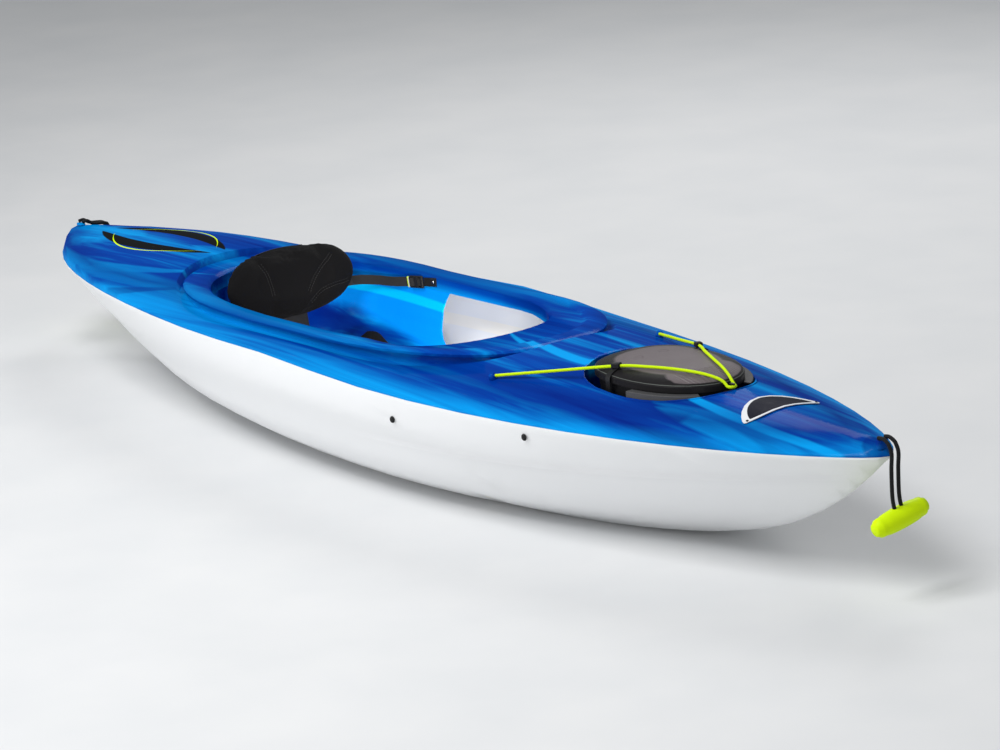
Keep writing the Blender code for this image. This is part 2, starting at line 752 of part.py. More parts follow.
def make_straps(webbing, buckle, metal, deck_tree):
    for side, word in ((1, "port"), (-1, "starboard")):

        def strap_z(x):
            return STRAP_HEIGHT_Z + STRAP_FALL * (x - ANCHOR_X)

        def wall(x):
            start = Vector((x, 0, edge_height(x) - COAMING_WALL / 2))
            return deck_tree.ray_cast(start, Vector((0, side, 0)))[0].y

        def plate(points, height, thickness):
            bm = bmesh.new()
            sections = []
            for i, point in enumerate(points):
                ahead = points[min(i + 1, len(points) - 1)] - points[max(i - 1, 0)]
                out = Vector((ahead.y, -ahead.x, 0)).normalized() * thickness / 2
                rise = UP * height / 2
                corners = (out + rise, rise - out, -out - rise, out - rise)
                sections.append([point + corner for corner in corners])
            loft(bm, sections)
            return bm

        inward = Vector((0, -side, 0))
        anchor = Vector((ANCHOR_X, wall(ANCHOR_X), STRAP_HEIGHT_Z))
        near = Vector((ANCHOR_X - 0.02, wall(ANCHOR_X - 0.02), strap_z(ANCHOR_X - 0.02)))
        run = (near - anchor).normalized()
        lift = inward * (STRAP_THICKNESS / 2 + GAP * 2)
        tab_end = anchor + run * TAB_LENGTH
        tab = plate([anchor - run * 0.012 + lift, tab_end + lift], STRAP_WIDTH - 0.002, STRAP_THICKNESS)
        tab_object = finish(f"strap_anchor_{word}", tab, webbing)
        rivet_seat = anchor + inward * (STRAP_THICKNESS + GAP * 3)
        hole = rod(RIVET_RADIUS * 0.5 + GAP, anchor - inward * 0.004, anchor + inward * 0.006)
        combine(tab_object, hole, "DIFFERENCE", f"rivet_hole_{word}")
        bm = bmesh.new()
        turned(
            bm,
            ((0, -STRAP_THICKNESS), (RIVET_RADIUS * 0.5, -STRAP_THICKNESS), (RIVET_RADIUS * 0.5, 0),
             (RIVET_RADIUS, 0), (RIVET_RADIUS * 0.8, 0.0012), (0, 0.0018)),
            along(rivet_seat, inward),
            12,
        )
        finish(f"strap_rivet_{word}", bm, metal)
        middle = tab_end + run * (BUCKLE_LENGTH / 2 + GAP) + inward * (0.0045 + GAP)
        bm = bmesh.new()
        place = frame_at(middle, run, UP)
        block(bm, (BUCKLE_LENGTH, 0.006, STRAP_WIDTH + 0.006), place, 0.0015)
        buckle_object = finish(f"strap_buckle_{word}", bm, buckle)
        for share in (-0.25, 0.25):
            bm = bmesh.new()
            window = place @ Matrix.Translation((share * BUCKLE_LENGTH, 0, 0))
            block(bm, (BUCKLE_LENGTH * 0.24, 0.02, STRAP_WIDTH), window)
            combine(buckle_object, bm, "DIFFERENCE", f"buckle_slot_{word}_{'a' if share < 0 else 'b'}")
        start = tab_end + run * (BUCKLE_LENGTH + 8 * GAP)
        ahead = Vector((start.x - 0.06, 0, strap_z(start.x - 0.06)))
        ahead.y = wall(ahead.x) - side * 0.008
        half, up = BACK_WIDTH / 2, STRAP_BACK_UP
        edge = back_point(side * (half + 0.004), up, 0.008)
        behind = [
            back_point(side * (half - inset), up, -depth) for inset, depth in ((0.006, 0.006), (0.03, 0.0055))
        ]
        middle_way = (ahead + edge) / 2 + Vector((0, side * 0.006, 0))
        route = [start + inward * 0.0035, ahead, middle_way, edge, *behind]
        points = smooth_route(route, 0.022)
        finish(f"backrest_strap_{word}", plate(points, STRAP_WIDTH, STRAP_THICKNESS), webbing)


def make_pod(tub_colour, lid_colour, rubber, handle_colour):
    wall_top = POD_RIM_HEIGHT - LID_SKIRT

    def ring(grow, height):
        return [Vector((x, y, height)) for x, y, _ in pod_outline(grow)]

    bm = bmesh.new()
    inner = -0.006 - POD_WALL
    loft(
        bm,
        [
            ring(-POD_TAPER - 0.004, POD_FLOOR_HEIGHT),
            ring(-POD_TAPER, POD_FLOOR_HEIGHT + 0.004),
            ring(-0.006, wall_top - 0.002),
            ring(-0.006, POD_RIM_HEIGHT),
            ring(inner, POD_RIM_HEIGHT),
            ring(inner, wall_top - 0.002),
            ring(-POD_TAPER - POD_WALL, POD_FLOOR_HEIGHT + 0.004),
            ring(-POD_TAPER - POD_WALL - 0.004, POD_FLOOR_HEIGHT + POD_WALL),
        ],
    )
    tub = finish("pod_tub", bm, tub_colour)
    front = POD_CENTRE_X + POD_FRONT - 0.0075
    arm_top = wall_top - 0.001
    end = HOOK_X + 0.005
    bm = bmesh.new()
    middle = Matrix.Translation(((front + end) / 2, 0, arm_top - 0.0035))
    block(bm, (end - front, HOOK_WIDTH, 0.007), middle, 0.001)
    combine(tub, bm, "UNION", "hook_arm")
    head_z = TURN_Z + BUNGEE_DIAMETER / 2 + GAP * 2
    post = rod(HOOK_RADIUS, (HOOK_X, 0, arm_top - 0.002), (HOOK_X, 0, head_z + 0.002), 12)
    combine(tub, post, "UNION", "hook_post")
    bm = bmesh.new()
    block(bm, (0.012, 0.006, 0.003), Matrix.Translation((HOOK_X + 0.0045, 0, head_z + 0.0015)), 0.0008)
    combine(tub, bm, "UNION", "hook_beak")

    seat = POD_RIM_HEIGHT + GAP
    bm = bmesh.new()
    gasket = [(-0.006, seat + 0.0035), (-0.006, seat), (inner, seat), (inner, seat + 0.0035)]
    loft(bm, [ring(*corner) for corner in gasket + gasket[:1]], caps=False)
    bmesh.ops.remove_doubles(bm, verts=bm.verts, dist=1e-6)
    finish("pod_gasket", bm, rubber)

    lid_bottom = seat + 0.0035 + GAP
    bm = bmesh.new()
    rings = [ring(-0.0055 + GAP, POD_RIM_HEIGHT - LID_SKIRT), ring(0, POD_RIM_HEIGHT - LID_SKIRT),
             ring(0, lid_bottom + 0.001)]
    for share in (0.985, 0.94, 0.85, 0.7, 0.5, 0.25):
        rings.append(
            [Vector((POD_CENTRE_X + (x - POD_CENTRE_X) * share, y * share, lid_top(share)))
             for x, y, _ in pod_outline(0)]
        )
    rows = loft(bm, rings, caps=False)
    bm.faces.new(rows[-1])
    under = [ring(-0.0055 + GAP, lid_bottom), ring(-0.03, lid_bottom), ]
    for share in (0.5, ):
        under.append(
            [Vector((POD_CENTRE_X + (x - POD_CENTRE_X) * share, y * share, lid_top(share) - POD_WALL))
             for x, y, _ in pod_outline(0)]
        )
    more = loft(bm, under, caps=False)
    bm.faces.new(more[-1])
    for i in range(32):
        j = (i + 1) % 32
        bm.faces.new((rows[0][i], rows[0][j], more[0][j], more[0][i]))
    finish("pod_lid", bm, lid_colour)

    inside = -0.006 + GAP * 2
    top, low = GRIP_TOP_Z, GRIP_TOP_Z - GRIP_DROP
    profile = [(inside, top), (inside, top - GRIP_WALL), (GRIP_REACH - GRIP_WALL, top - GRIP_WALL),
               (GRIP_REACH - GRIP_WALL, low), (GRIP_REACH, low), (GRIP_REACH, top)]
    for side, word in ((1, "port"), (-1, "starboard")):
        sections = []
        for step in range(10):
            turn = GRIP_START + (GRIP_END - GRIP_START) * step / 9
            out = Vector((math.cos(turn), side * math.sin(turn), 0))
            sections.append(
                [Vector((POD_CENTRE_X + (POD_FRONT + grow) * out.x, (POD_HALF + grow) * out.y, z))
                 for grow, z in profile]
            )
        bm = bmesh.new()
        loft(bm, sections)
        finish(f"pod_grip_{word}", bm, handle_colour)


def lid_top(share):
    """Height of the lid's top where its outline is shrunk to this share."""
    rim = POD_RIM_HEIGHT + 0.0055
    return rim + LID_DOME * (1 - share**4) ** 0.6


def pod_share(x, y):
    """How far out (x, y) lies on the pod, 1 on its outline."""
    low, high = 0.0, 2.0
    for _ in range(24):
        share = (low + high) / 2
        reach = (x - POD_CENTRE_X) / share
        inside = -POD_REAR < reach < POD_FRONT and abs(y) / share < pod_half_at(POD_CENTRE_X + reach, 0)
        if inside:
            high = share
        else:
            low = share
    return high


def pod_half_at(x, grow):
    forward = x >= POD_CENTRE_X
    reach = (POD_FRONT if forward else POD_REAR) + grow
    power, fullness = (2.0, 0.5) if forward else (2.8, 0.42)
    share = min(1.0, abs(x - POD_CENTRE_X) / reach)
    return (POD_HALF + grow) * (1 - share**power) ** fullness


def lid_surface(x, y):
    return lid_top(min(1.0, pod_share(x, y)))


def bungee_route(deck_tree):
    """The cord's points from the port eye over the lid to the peg, and back to starboard."""
    radius = BUNGEE_DIAMETER / 2
    deck_z = deck_tree.ray_cast(Vector((BUNGEE_EYE_X, BUNGEE_EYE_Y, 0.5)), -UP)[0].z
    half = [Vector((BUNGEE_EYE_X, BUNGEE_EYE_Y, deck_z + BUNGEE_EYE_BORE_HEIGHT))]
    clip = Vector((CLIP_X, CLIP_Y, lid_surface(CLIP_X, CLIP_Y) + radius + 0.003))
    half.append(half[0].lerp(clip, 0.5))
    half.append(clip)
    for x, y in ((0.87, 0.076), (0.93, 0.05), (0.985, 0.029), (1.02, 0.016)):
        half.append(Vector((x, y, lid_surface(x, y) + radius + 0.0015)))
    half.append(Vector((HOOK_X - 0.010, TURN_RADIUS + 0.001, TURN_Z + 0.0085)))
    half.append(Vector((HOOK_X - 0.001, TURN_RADIUS, TURN_Z + 0.001)))
    half.append(Vector((HOOK_X + TURN_RADIUS * 0.707, TURN_RADIUS * 0.707, TURN_Z)))
    bottom = Vector((HOOK_X + TURN_RADIUS, 0, TURN_Z))
    mirrored = [Vector((p.x, -p.y, p.z)) for p in reversed(half)]
    return half + [bottom] + mirrored


def make_bungee(cord_colour, fitting_colour, eye_colour, deck_tree):
    route = bungee_route(deck_tree)
    tube("bungee_cord", route, BUNGEE_DIAMETER, BUNGEE_DIAMETER * 3, cord_colour)
    radius = BUNGEE_DIAMETER / 2
    for side, word in ((1, "port"), (-1, "starboard")):
        end, ahead = (route[0], route[1]) if side > 0 else (route[-1], route[-2])
        seat = end - UP * BUNGEE_EYE_BORE_HEIGHT
        direction = (ahead - end).normalized()
        normal = deck_tree.ray_cast(end + UP * 0.1, -UP)[1]
        bm = bmesh.new()
        turned(
            bm,
            ((0, 0), (BUNGEE_EYE_RADIUS, 0), (BUNGEE_EYE_RADIUS, 0.003), (BUNGEE_EYE_RADIUS - 0.001, 0.009),
             (BUNGEE_EYE_RADIUS - 0.0045, 0.0125), (0, 0.0125)),
            along(seat + normal * seat_gap(deck_tree, seat, normal, BUNGEE_EYE_RADIUS), normal),
            16,
        )
        eye = finish(f"bungee_eye_{word}", bm, eye_colour)
        combine(
            eye,
            rod(radius + GAP * 2, end - direction * GAP * 2, end + direction * 0.03),
            "DIFFERENCE",
            f"eye_bore_{word}",
        )
        clip = route[2] if side > 0 else route[-3]
        before, after = (route[1], route[3]) if side > 0 else (route[-2], route[-4])
        run = (after - before).normalized()
        bm = bmesh.new()
        block(bm, (0.02, 0.015, 0.011), frame_at(clip + UP * 0.0012, run, UP), 0.002)
        clip_object = finish(f"pod_clip_{word}", bm, fitting_colour)
        sections = []
        wall = pod_half_at(CLIP_X, 0)
        low = GRIP_TOP_Z - GRIP_DROP
        lift = 0.0012
        path = [(CLIP_Y + share * (wall - CLIP_Y), None) for share in (0.0, 0.3, 0.6, 0.85, 0.97)]
        line = [Vector((CLIP_X, y, lid_surface(CLIP_X, y) + lift)) for y, _ in path]
        line += [Vector((CLIP_X, wall + lift + 0.0012, POD_RIM_HEIGHT + 0.002)),
                 Vector((CLIP_X, wall + lift + 0.0012, POD_RIM_HEIGHT - LID_SKIRT)),
                 Vector((CLIP_X, wall + lift, low))]
        for i, point in enumerate(line):
            ahead = (line[min(i + 1, len(line) - 1)] - line[max(i - 1, 0)]).normalized()
            out = Vector((0, -ahead.z, ahead.y)).normalized() * 0.002
            inner = [point - Vector((0.007, 0, 0)), point + Vector((0.007, 0, 0))]
            section = [inner[0], inner[1], inner[1] + out, inner[0] + out]
            sections.append([Vector((p.x, side * p.y, p.z)) for p in section])
        strap = bmesh.new()
        loft(strap, sections)
        combine(clip_object, strap, "UNION", f"clip_strap_{word}")
        combine(
            clip_object,
            rod(radius + GAP * 2, clip - run * 0.03, clip + run * 0.03),
            "DIFFERENCE",
            f"clip_bore_{word}",
        )


def seat_gap(tree, seat, normal, radius):
    """How far a flat disc must stand off along the normal so that it clears the surface."""
    place = along(seat, normal)
    nearest = 1.0
    for i in range(12):
        turn = 2 * math.pi * i / 12
        corner = place @ Vector((radius * math.cos(turn), radius * math.sin(turn), 0.05))
        hit = tree.ray_cast(corner, -Vector(normal))
        nearest = min(nearest, hit[3] or nearest)
    centre = tree.ray_cast(place @ Vector((0, 0, 0.05)), -Vector(normal))
    nearest = min(nearest, centre[3])
    return 0.05 - nearest + GAP


def handle_frame(end):
    """The eye's place, the way the cord leaves it and the way its strands are spread."""
    if end > 0:
        return Vector((LENGTH / 2 - HANDLE_EYE_INSET, 0, 0)), Vector((1, 0, 0)), Vector((0, 1, 0))
    return Vector((-LENGTH / 2 + STERN_EYE_INSET, 0, 0)), Vector((0, 1, 0)), Vector((-1, 0, 0))


def eye_heights(eye, deck_tree):
    """Heights of the eye's base and top where it sits on the deck."""
    seat = deck_tree.ray_cast(eye + UP * 0.5, -UP)[0]
    base = seat.z + seat_gap(deck_tree, seat, UP, EYE_HALF_WIDTH)
    return base, base + EYE_THICKNESS


def handle_route(end, deck_tree):
    """The carry cord's points: from one end at its eye, over the edge, round the toggle, back."""
    eye, away, across = handle_frame(end)
    edge = HANDLE_EYE_INSET if end > 0 else STERN_EDGE
    out = TOGGLE_OVERHANG if end > 0 else STERN_TOGGLE_OUT
    tilt = BOW_TOGGLE_TILT if end > 0 else 0.0
    top = eye_heights(eye, deck_tree)[1] + HANDLE_CORD_DIAMETER / 2 + GAP
    low = top - (TOGGLE_DROP if end > 0 else STERN_TOGGLE_DROP)
    spread = STRAND_OFFSET
    half = [(0, spread, top), (0.013, spread, top + 0.001)]
    for a in (0.023, 0.033):
        if a < edge:
            spots = [eye + away * a + across * side * spread + UP * 0.5 for side in (1, -1)]
            hits = [deck_tree.ray_cast(spot, -UP)[0] for spot in spots]
            deck_z = max(hit.z for hit in hits if hit)
            half.append((a, spread, min(top, deck_z + HANDLE_CORD_DIAMETER / 2 + GAP * 5)))
    top = half[-1][2]
    half += [
        (edge + 0.004, spread, top - 0.004),
        (edge + 0.011, spread, top - 0.010),
        (edge + 0.0175, spread, top - 0.026),
        (edge + 0.0175 + (out - 0.0175) * 0.5, spread, top - 0.055),
        (edge + out, spread, low + TOGGLE_RADIUS + 0.022),
        (edge + out, spread, low + 0.012),
        (edge + out, spread, low - 0.004),
        (edge + out, spread * 0.71, low - 0.004 - spread * 0.71),
    ]
    mirrored = [(a, -b, z) for a, b, z in reversed(half)]
    centre = eye + away * (edge + out) + UP * low
    route = []
    for a, b, z in half + [(edge + out, 0, low - 0.004 - spread)] + mirrored:
        turn = tilt * (1 - smoothstep(low + TOGGLE_RADIUS + 0.005, top - 0.02, z))
        hung = Matrix.Rotation(turn, 3, away) @ (across * b + UP * (z - low))
        route.append(eye + away * a + hung + UP * low)
    return route, centre, Matrix.Rotation(tilt, 4, away)


def make_carry_handle(end, word, cord_colour, toggle_colour, fitting_colour, deck_tree):
    eye, away, across = handle_frame(end)
    route, centre, tilt = handle_route(end, deck_tree)
    origin = Vector((eye.x, eye.y, route[0].z))
    step = HANDLE_CORD_DIAMETER * 2.4
    tube(f"{word}_handle_cord", route, HANDLE_CORD_DIAMETER, step, cord_colour, origin)
    half = TOGGLE_LENGTH / 2
    profile = [(0, -half)]
    for share in (0.97, 0.85, 0.62, 0.32):
        profile.append((TOGGLE_RADIUS * (1 - share**2.6) ** 0.62, -half * share))
    profile.append((TOGGLE_RADIUS, 0))
    profile += [(radius, -height) for radius, height in reversed(profile[:-1])]
    upright = Matrix.Translation(centre) @ tilt @ frame_at((0, 0, 0), away, UP)
    bm = bmesh.new()
    turned(bm, profile, upright @ Matrix.Rotation(-math.pi / 2, 4, "X"), 16)
    toggle = finish(f"{word}_toggle", bm, toggle_colour, origin)
    bore = HANDLE_CORD_DIAMETER / 2 + GAP * 3
    for side in (1, -1):
        start = upright @ Vector((0, side * STRAND_OFFSET, -0.006))
        stop = upright @ Vector((0, side * STRAND_OFFSET, 0.044))
        bore_name = f"{word}_strand_bore_{'a' if side > 0 else 'b'}"
        combine(toggle, rod(bore, start, stop), "DIFFERENCE", bore_name)
    bm = bmesh.new()
    place = upright @ Matrix.Translation((0, 0, -0.0185))
    block(bm, (2 * bore, 2 * (STRAND_OFFSET + bore), 0.03), place)
    combine(toggle, bm, "DIFFERENCE", f"{word}_turn_groove")
    bm = bmesh.new()
    half = EYE_HALF_WIDTH
    outline = egg(0, half, half, EYE_HALF_LENGTH, (2.0, 0.5), (2.0, 0.5), count=20)
    top = eye_heights(eye, deck_tree)[1]
    sections = [[eye + away * a + across * b + UP * top for a, b, _ in outline]]
    for share in (1.0, 0.6, 0.25, 0.06):
        section = []
        for a, b, _ in outline:
            spot = eye + (away * a + across * b) * share
            section.append(deck_tree.ray_cast(spot + UP * 0.5, -UP)[0] + UP * GAP * 3)
        sections.append(section)
    loft(bm, sections)
    finish(f"{word}_handle_eye", bm, fitting_colour)


def side_point(tree, x, z, side, outward=True):
    """Where the hull's wall is met at this x and z: from inside if outward, else from outside."""
    start = Vector((x, 0 if outward else side * BEAM, z))
    return tree.ray_cast(start, Vector((0, side if outward else -side, 0)))


def rail_frame(tree, side):
    aft = side_point(tree, RAIL_AFT_X, RAIL_AFT_Z, side)[0]
    fore = side_point(tree, RAIL_FORE_X, RAIL_FORE_Z, side)[0]
    run = (fore - aft).normalized()
    inward = Vector((0, -side, 0))
    inward = (inward - run * inward.dot(run)).normalized()
    rise = run.cross(inward) if side < 0 else inward.cross(run)
    place = Matrix((run, inward, rise)).transposed().to_4x4()
    place.translation = (aft + fore) / 2
    return place, (fore - aft).length


def make_foot_brace(side, word, hull, hull_tree, colours):
    place, span = rail_frame(hull_tree, side)
    inward = place.to_3x3() @ Vector((0, 1, 0))
    length = span + 2 * RAIL_END
    bm = bmesh.new()
    centre = RAIL_STANDOFF + RAIL_THICKNESS / 2
    block(bm, (length, RAIL_THICKNESS, RAIL_HEIGHT), place @ Matrix.Translation((0, centre, 0)), 0.002)
    rail = finish(f"footrest_rail_{word}", bm, colours["rail"])
    for end, end_word in ((-1, "aft"), (1, "fore")):
        seat = place @ Vector((end * span / 2, 0, 0))
        back = place @ Vector((end * span / 2, RAIL_STANDOFF + 0.001, 0))
        off = seat_gap(hull_tree, seat, inward, FOOT_RADIUS)
        combine(rail, rod(FOOT_RADIUS, seat + inward * off, back), "UNION", f"rail_foot_{word}_{end_word}")
        bore = rod(SCREW_RADIUS + GAP, seat - inward * 0.03, seat + inward * 0.026)
        combine(rail, bore.copy(), "DIFFERENCE", f"rail_bore_{word}_{end_word}")
        combine(hull, bore, "DIFFERENCE", f"hull_screw_hole_{word}_{end_word}")
        outer = hull_tree.ray_cast(seat - inward * 0.05, inward)[0]
        off = seat_gap(hull_tree, outer, -inward, SCREW_HEAD_RADIUS)
        bm = bmesh.new()
        turned(
            bm,
            ((0, -0.026), (SCREW_RADIUS, -0.026), (SCREW_RADIUS, 0), (SCREW_HEAD_RADIUS, 0),
             (SCREW_HEAD_RADIUS * 0.9, 0.002), (SCREW_HEAD_RADIUS * 0.5, 0.0035), (0, 0.0038)),
            along(outer - inward * off, -inward),
            12,
        )
        finish(f"rail_screw_{word}_{end_word}", bm, colours["screw"])

    back = RAIL_STANDOFF
    play = SLIDE_CLEARANCE
    half = RAIL_HEIGHT / 2
    wall = CARRIAGE_WALL
    face = back + RAIL_THICKNESS + play
    channel = [
        (face + wall, half + play + wall), (back - play - wall, half + play + wall),
        (back - play - wall, half - 0.006), (back - play, half - 0.006),
        (back - play, half + play), (face, half + play),
        (face, -half - play), (back - play, -half - play),
        (back - play, -half + 0.006), (back - play - wall, -half + 0.006),
        (back - play - wall, -half - play - wall), (face + wall, -half - play - wall),
    ]
    bm = bmesh.new()
    ends = (-CARRIAGE_LENGTH / 2, CARRIAGE_LENGTH / 2)
    loft(bm, [[place @ Vector((x, y, z)) for y, z in channel] for x in ends])
    origin = place @ Vector((0, face, 0))
    pedal = finish(f"footrest_pedal_{word}", bm, colours["pedal"], origin)
    bm = bmesh.new()
    middle = Vector((-0.02, face + wall / 2 + PEDAL_WIDTH / 2, -PEDAL_DROP))
    block(bm, (PEDAL_THICKNESS, PEDAL_WIDTH, PEDAL_HEIGHT), place @ Matrix.Translation(middle), 0.003)
    combine(pedal, bm, "UNION", f"pedal_plate_{word}")
    bm = bmesh.new()
    lever_y = face + wall + GAP + LEVER_THICKNESS / 2
    lever_x = -0.02 + PEDAL_THICKNESS / 2 + 0.001 + LEVER_LENGTH / 2
    block(
        bm,
        (LEVER_LENGTH, LEVER_THICKNESS, 0.02),
        place @ Matrix.Translation((lever_x, lever_y, 0)),
        0.002,
    )
    hinge = place @ Vector((lever_x - LEVER_LENGTH / 2 + LEVER_THICKNESS / 2, lever_y, 0))
    finish(f"footrest_lever_{word}", bm, colours["lever"], hinge)


def make_drain_plug(hull, hull_tree, colour, rubber):
    hit, normal, _, _ = side_point(hull_tree, PLUG_X, PLUG_Z, 1, outward=False)
    off = seat_gap(hull_tree, hit, normal, PLUG_HEAD_RADIUS)
    seat = hit + normal * off
    combine(
        hull,
        rod(PLUG_RADIUS + GAP * 2, seat - normal * 0.02, seat + normal * 0.01, 16),
        "DIFFERENCE",
        "drain_hole",
    )
    seal = 0.002
    bm = bmesh.new()
    place = along(seat, normal)
    ring = [(PLUG_RADIUS + GAP * 2, 0), (PLUG_HEAD_RADIUS - 0.002, 0), (PLUG_HEAD_RADIUS - 0.002, seal),
            (PLUG_RADIUS + GAP * 2, seal)]
    sections = []
    for i in range(17):
        turn = Matrix.Rotation(2 * math.pi * i / 16, 4, "Z")
        sections.append([place @ turn @ Vector((radius, 0, height)) for radius, height in ring])
    loft(bm, sections, caps=False)
    bmesh.ops.remove_doubles(bm, verts=bm.verts, dist=1e-6)
    finish("drain_seal", bm, rubber)
    bm = bmesh.new()
    base = seal + GAP
    turned(
        bm,
        ((0, -0.010), (PLUG_RADIUS * 0.9, -0.010), (PLUG_RADIUS, -0.008), (PLUG_RADIUS, base),
         (PLUG_HEAD_RADIUS, base), (PLUG_HEAD_RADIUS, base + 0.004), (PLUG_HEAD_RADIUS * 0.85, base + 0.006),
         (0, base + 0.006)),
        place,
        16,
    )
    plug = finish("drain_plug", bm, colour, seat)
    bm = bmesh.new()
    block(bm, (0.022, 0.005, 0.010), place @ Matrix.Translation((0, 0, base + 0.009)), 0.001)
    combine(plug, bm, "UNION", "plug_wing")


def make_foam(name, low_x, high_x, half, clear, colour, hull_tree):
    """A block that stands on the hull's floor, with a grid of feet that follow it."""
    bm = bmesh.new()
    columns, rows = 4, 3
    sections = []
    for i in range(columns + 1):
        x = low_x + (high_x - low_x) * i / columns
        foot = []
        for j in range(rows + 1):
            y = half * (2 * j / rows - 1)
            hit = hull_tree.ray_cast(Vector((x, y, FOAM_HEIGHT)), -UP)[0]
            foot.append(Vector((x, y, hit.z + clear)))
        sections.append(foot + [Vector((x, half, FOAM_HEIGHT)), Vector((x, -half, FOAM_HEIGHT))])
    loft(bm, sections)
    finish(name, bm, colour)


def badge_outline(count=24):
    """(x, y) around the crescent plate: a deep curve aft, a shallow one forward, rounded ends."""
    points = []
    for i in range(count):
        turn = 2 * math.pi * i / count
        bow = abs(math.cos(turn))
        depth = BADGE_FORE_BOW if math.cos(turn) > 0 else BADGE_AFT_BOW
        reach = (depth - BADGE_END_RADIUS) * bow**1.8 + BADGE_END_RADIUS * bow**0.7
        points.append((math.copysign(reach, math.cos(turn)), BADGE_LENGTH / 2 * math.sin(turn)))
    return points


def make_badge(colour, metal, deck_tree):
    def above(x, y, lift):
        return Vector((x, y, deck_tree.ray_cast(Vector((x, y, 0.5)), -UP)[0].z + lift))

    bm = bmesh.new()
    faces = []
    for lift in (GAP * 7, GAP * 7 + BADGE_THICKNESS):
        rings = []
        for share in (1.0, 0.8, 0.55, 0.28):
            rings.append([above(BADGE_X + x * share, y * share, lift) for x, y in badge_outline()])
        faces.append(loft(bm, rings, caps=False))
        bm.faces.new(faces[-1][-1])
    lower, upper = faces[0][0], faces[1][0]
    for i in range(len(lower)):
        j = (i + 1) % len(lower)
        bm.faces.new((lower[i], lower[j], upper[j], upper[i]))
    plate = finish("badge_plate", bm, colour)
    for side, word in ((1, "port"), (-1, "starboard")):
        y = side * (BADGE_LENGTH / 2 - BADGE_END_RADIUS)
        normal = deck_tree.ray_cast(Vector((BADGE_X, y, 0.5)), -UP)[1]
        seat = above(BADGE_X, y, GAP * 7)
        shank = RIVET_RADIUS * 0.4
        hole = rod(shank + GAP, seat - normal * 0.002, seat + normal * 0.004)
        combine(plate, hole, "DIFFERENCE", f"badge_hole_{word}")
        bm = bmesh.new()
        head = BADGE_THICKNESS + GAP * 2
        turned(
            bm,
            ((0, 0), (shank, 0), (shank, head), (RIVET_RADIUS * 0.75, head),
             (RIVET_RADIUS * 0.6, head + 0.0009), (0, head + 0.0012)),
            along(seat, normal),
            12,
        )
        finish(f"badge_rivet_{word}", bm, metal)


def main():
    clear_scene()
    white = material("hull_white", (0.86, 0.87, 0.88), 0.25)
    blue = material("deck_blue", (0.01, 0.16, 0.62), 0.2)
    black = material("moulded_black", (0.02, 0.02, 0.022), 0.5)
    grey = material("lid_grey", (0.12, 0.11, 0.12), 0.35)
    cloth = material("seat_fabric", (0.012, 0.012, 0.013), 0.9)
    webbing = material("webbing", (0.03, 0.03, 0.032), 0.85)
    rubber = material("seal_rubber", (0.02, 0.02, 0.02), 0.7)
    neon = material("neon_yellow", (0.62, 0.85, 0.02), 0.5)
    cord_black = material("cord_black", (0.015, 0.015, 0.017), 0.8)
    steel = material("steel", (0.55, 0.55, 0.56), 0.3, 1.0)
    foam = material("white_foam", (0.8, 0.8, 0.78), 0.9)
    badge = material("badge_dark", (0.03, 0.04, 0.08), 0.3)

    hull = make_hull(white)
    deck = make_deck(blue)
    liner = make_liner(blue)
    hull_tree = surface_tree(hull)
    deck_tree = surface_tree(deck)
    liner_tree = surface_tree(liner)
    make_seat_pad(cloth, liner_tree)
    make_back_bracket(make_backrest(black, cloth, steel), black, steel, liner_tree)
    make_straps(webbing, black, steel, deck_tree)
    make_pod(black, grey, rubber, grey)
    make_bungee(neon, black, blue, deck_tree)
    make_carry_handle(1, "bow", cord_black, neon, black, deck_tree)
    make_carry_handle(-1, "stern", cord_black, neon, black, deck_tree)
    colours = {"rail": black, "screw": black, "pedal": black, "lever": grey}
    for side, word in ((1, "port"), (-1, "starboard")):
        make_foot_brace(side, word, hull, hull_tree, colours)
    make_drain_plug(hull, hull_tree, black, rubber)
    make_foam("foam_block_bow", 1.16, 1.28, 0.028, 0.0012, foam, hull_tree)
    make_foam("foam_block_stern", -1.24, -1.10, 0.035, 0.003, foam, hull_tree)
    bm = bmesh.new()
    floor = HULL_DEPTH * LEVELS[-1][1] + SHEET + GAP
    top = PAN_HEIGHT - SHEET - GAP
    block(bm, (0.18, 0.085, top - floor), Matrix.Translation((PAN_CENTRE_X, 0, (top + floor) / 2)), 0.003)
    finish("foam_seat_pillar", bm, foam)
    make_badge(badge, steel, deck_tree)


main()
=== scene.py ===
import math

import bmesh
import bpy
from bpy.props import FloatProperty, FloatVectorProperty, PointerProperty
from mathutils import Matrix, Vector
from mathutils.bvhtree import BVHTree


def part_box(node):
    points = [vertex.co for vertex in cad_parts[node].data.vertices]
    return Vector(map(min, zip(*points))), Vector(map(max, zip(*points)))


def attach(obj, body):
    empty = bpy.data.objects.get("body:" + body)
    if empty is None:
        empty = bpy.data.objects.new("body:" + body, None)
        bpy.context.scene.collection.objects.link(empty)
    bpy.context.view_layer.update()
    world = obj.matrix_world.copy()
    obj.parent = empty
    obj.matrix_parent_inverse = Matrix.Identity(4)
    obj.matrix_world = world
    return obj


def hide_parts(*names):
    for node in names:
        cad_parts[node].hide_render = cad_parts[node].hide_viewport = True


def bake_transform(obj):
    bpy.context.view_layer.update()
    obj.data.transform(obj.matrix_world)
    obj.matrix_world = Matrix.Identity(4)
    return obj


bl_info = {
    "name": "Recreational kayak",
    "version": (1, 0, 0),
    "blender": (4, 5, 0),
    "location": "View3D > Sidebar > Kayak",
    "description": "Dresses the kayak with moulded skins, padded seat, webbing, cords and fittings",
    "category": "Object",
}

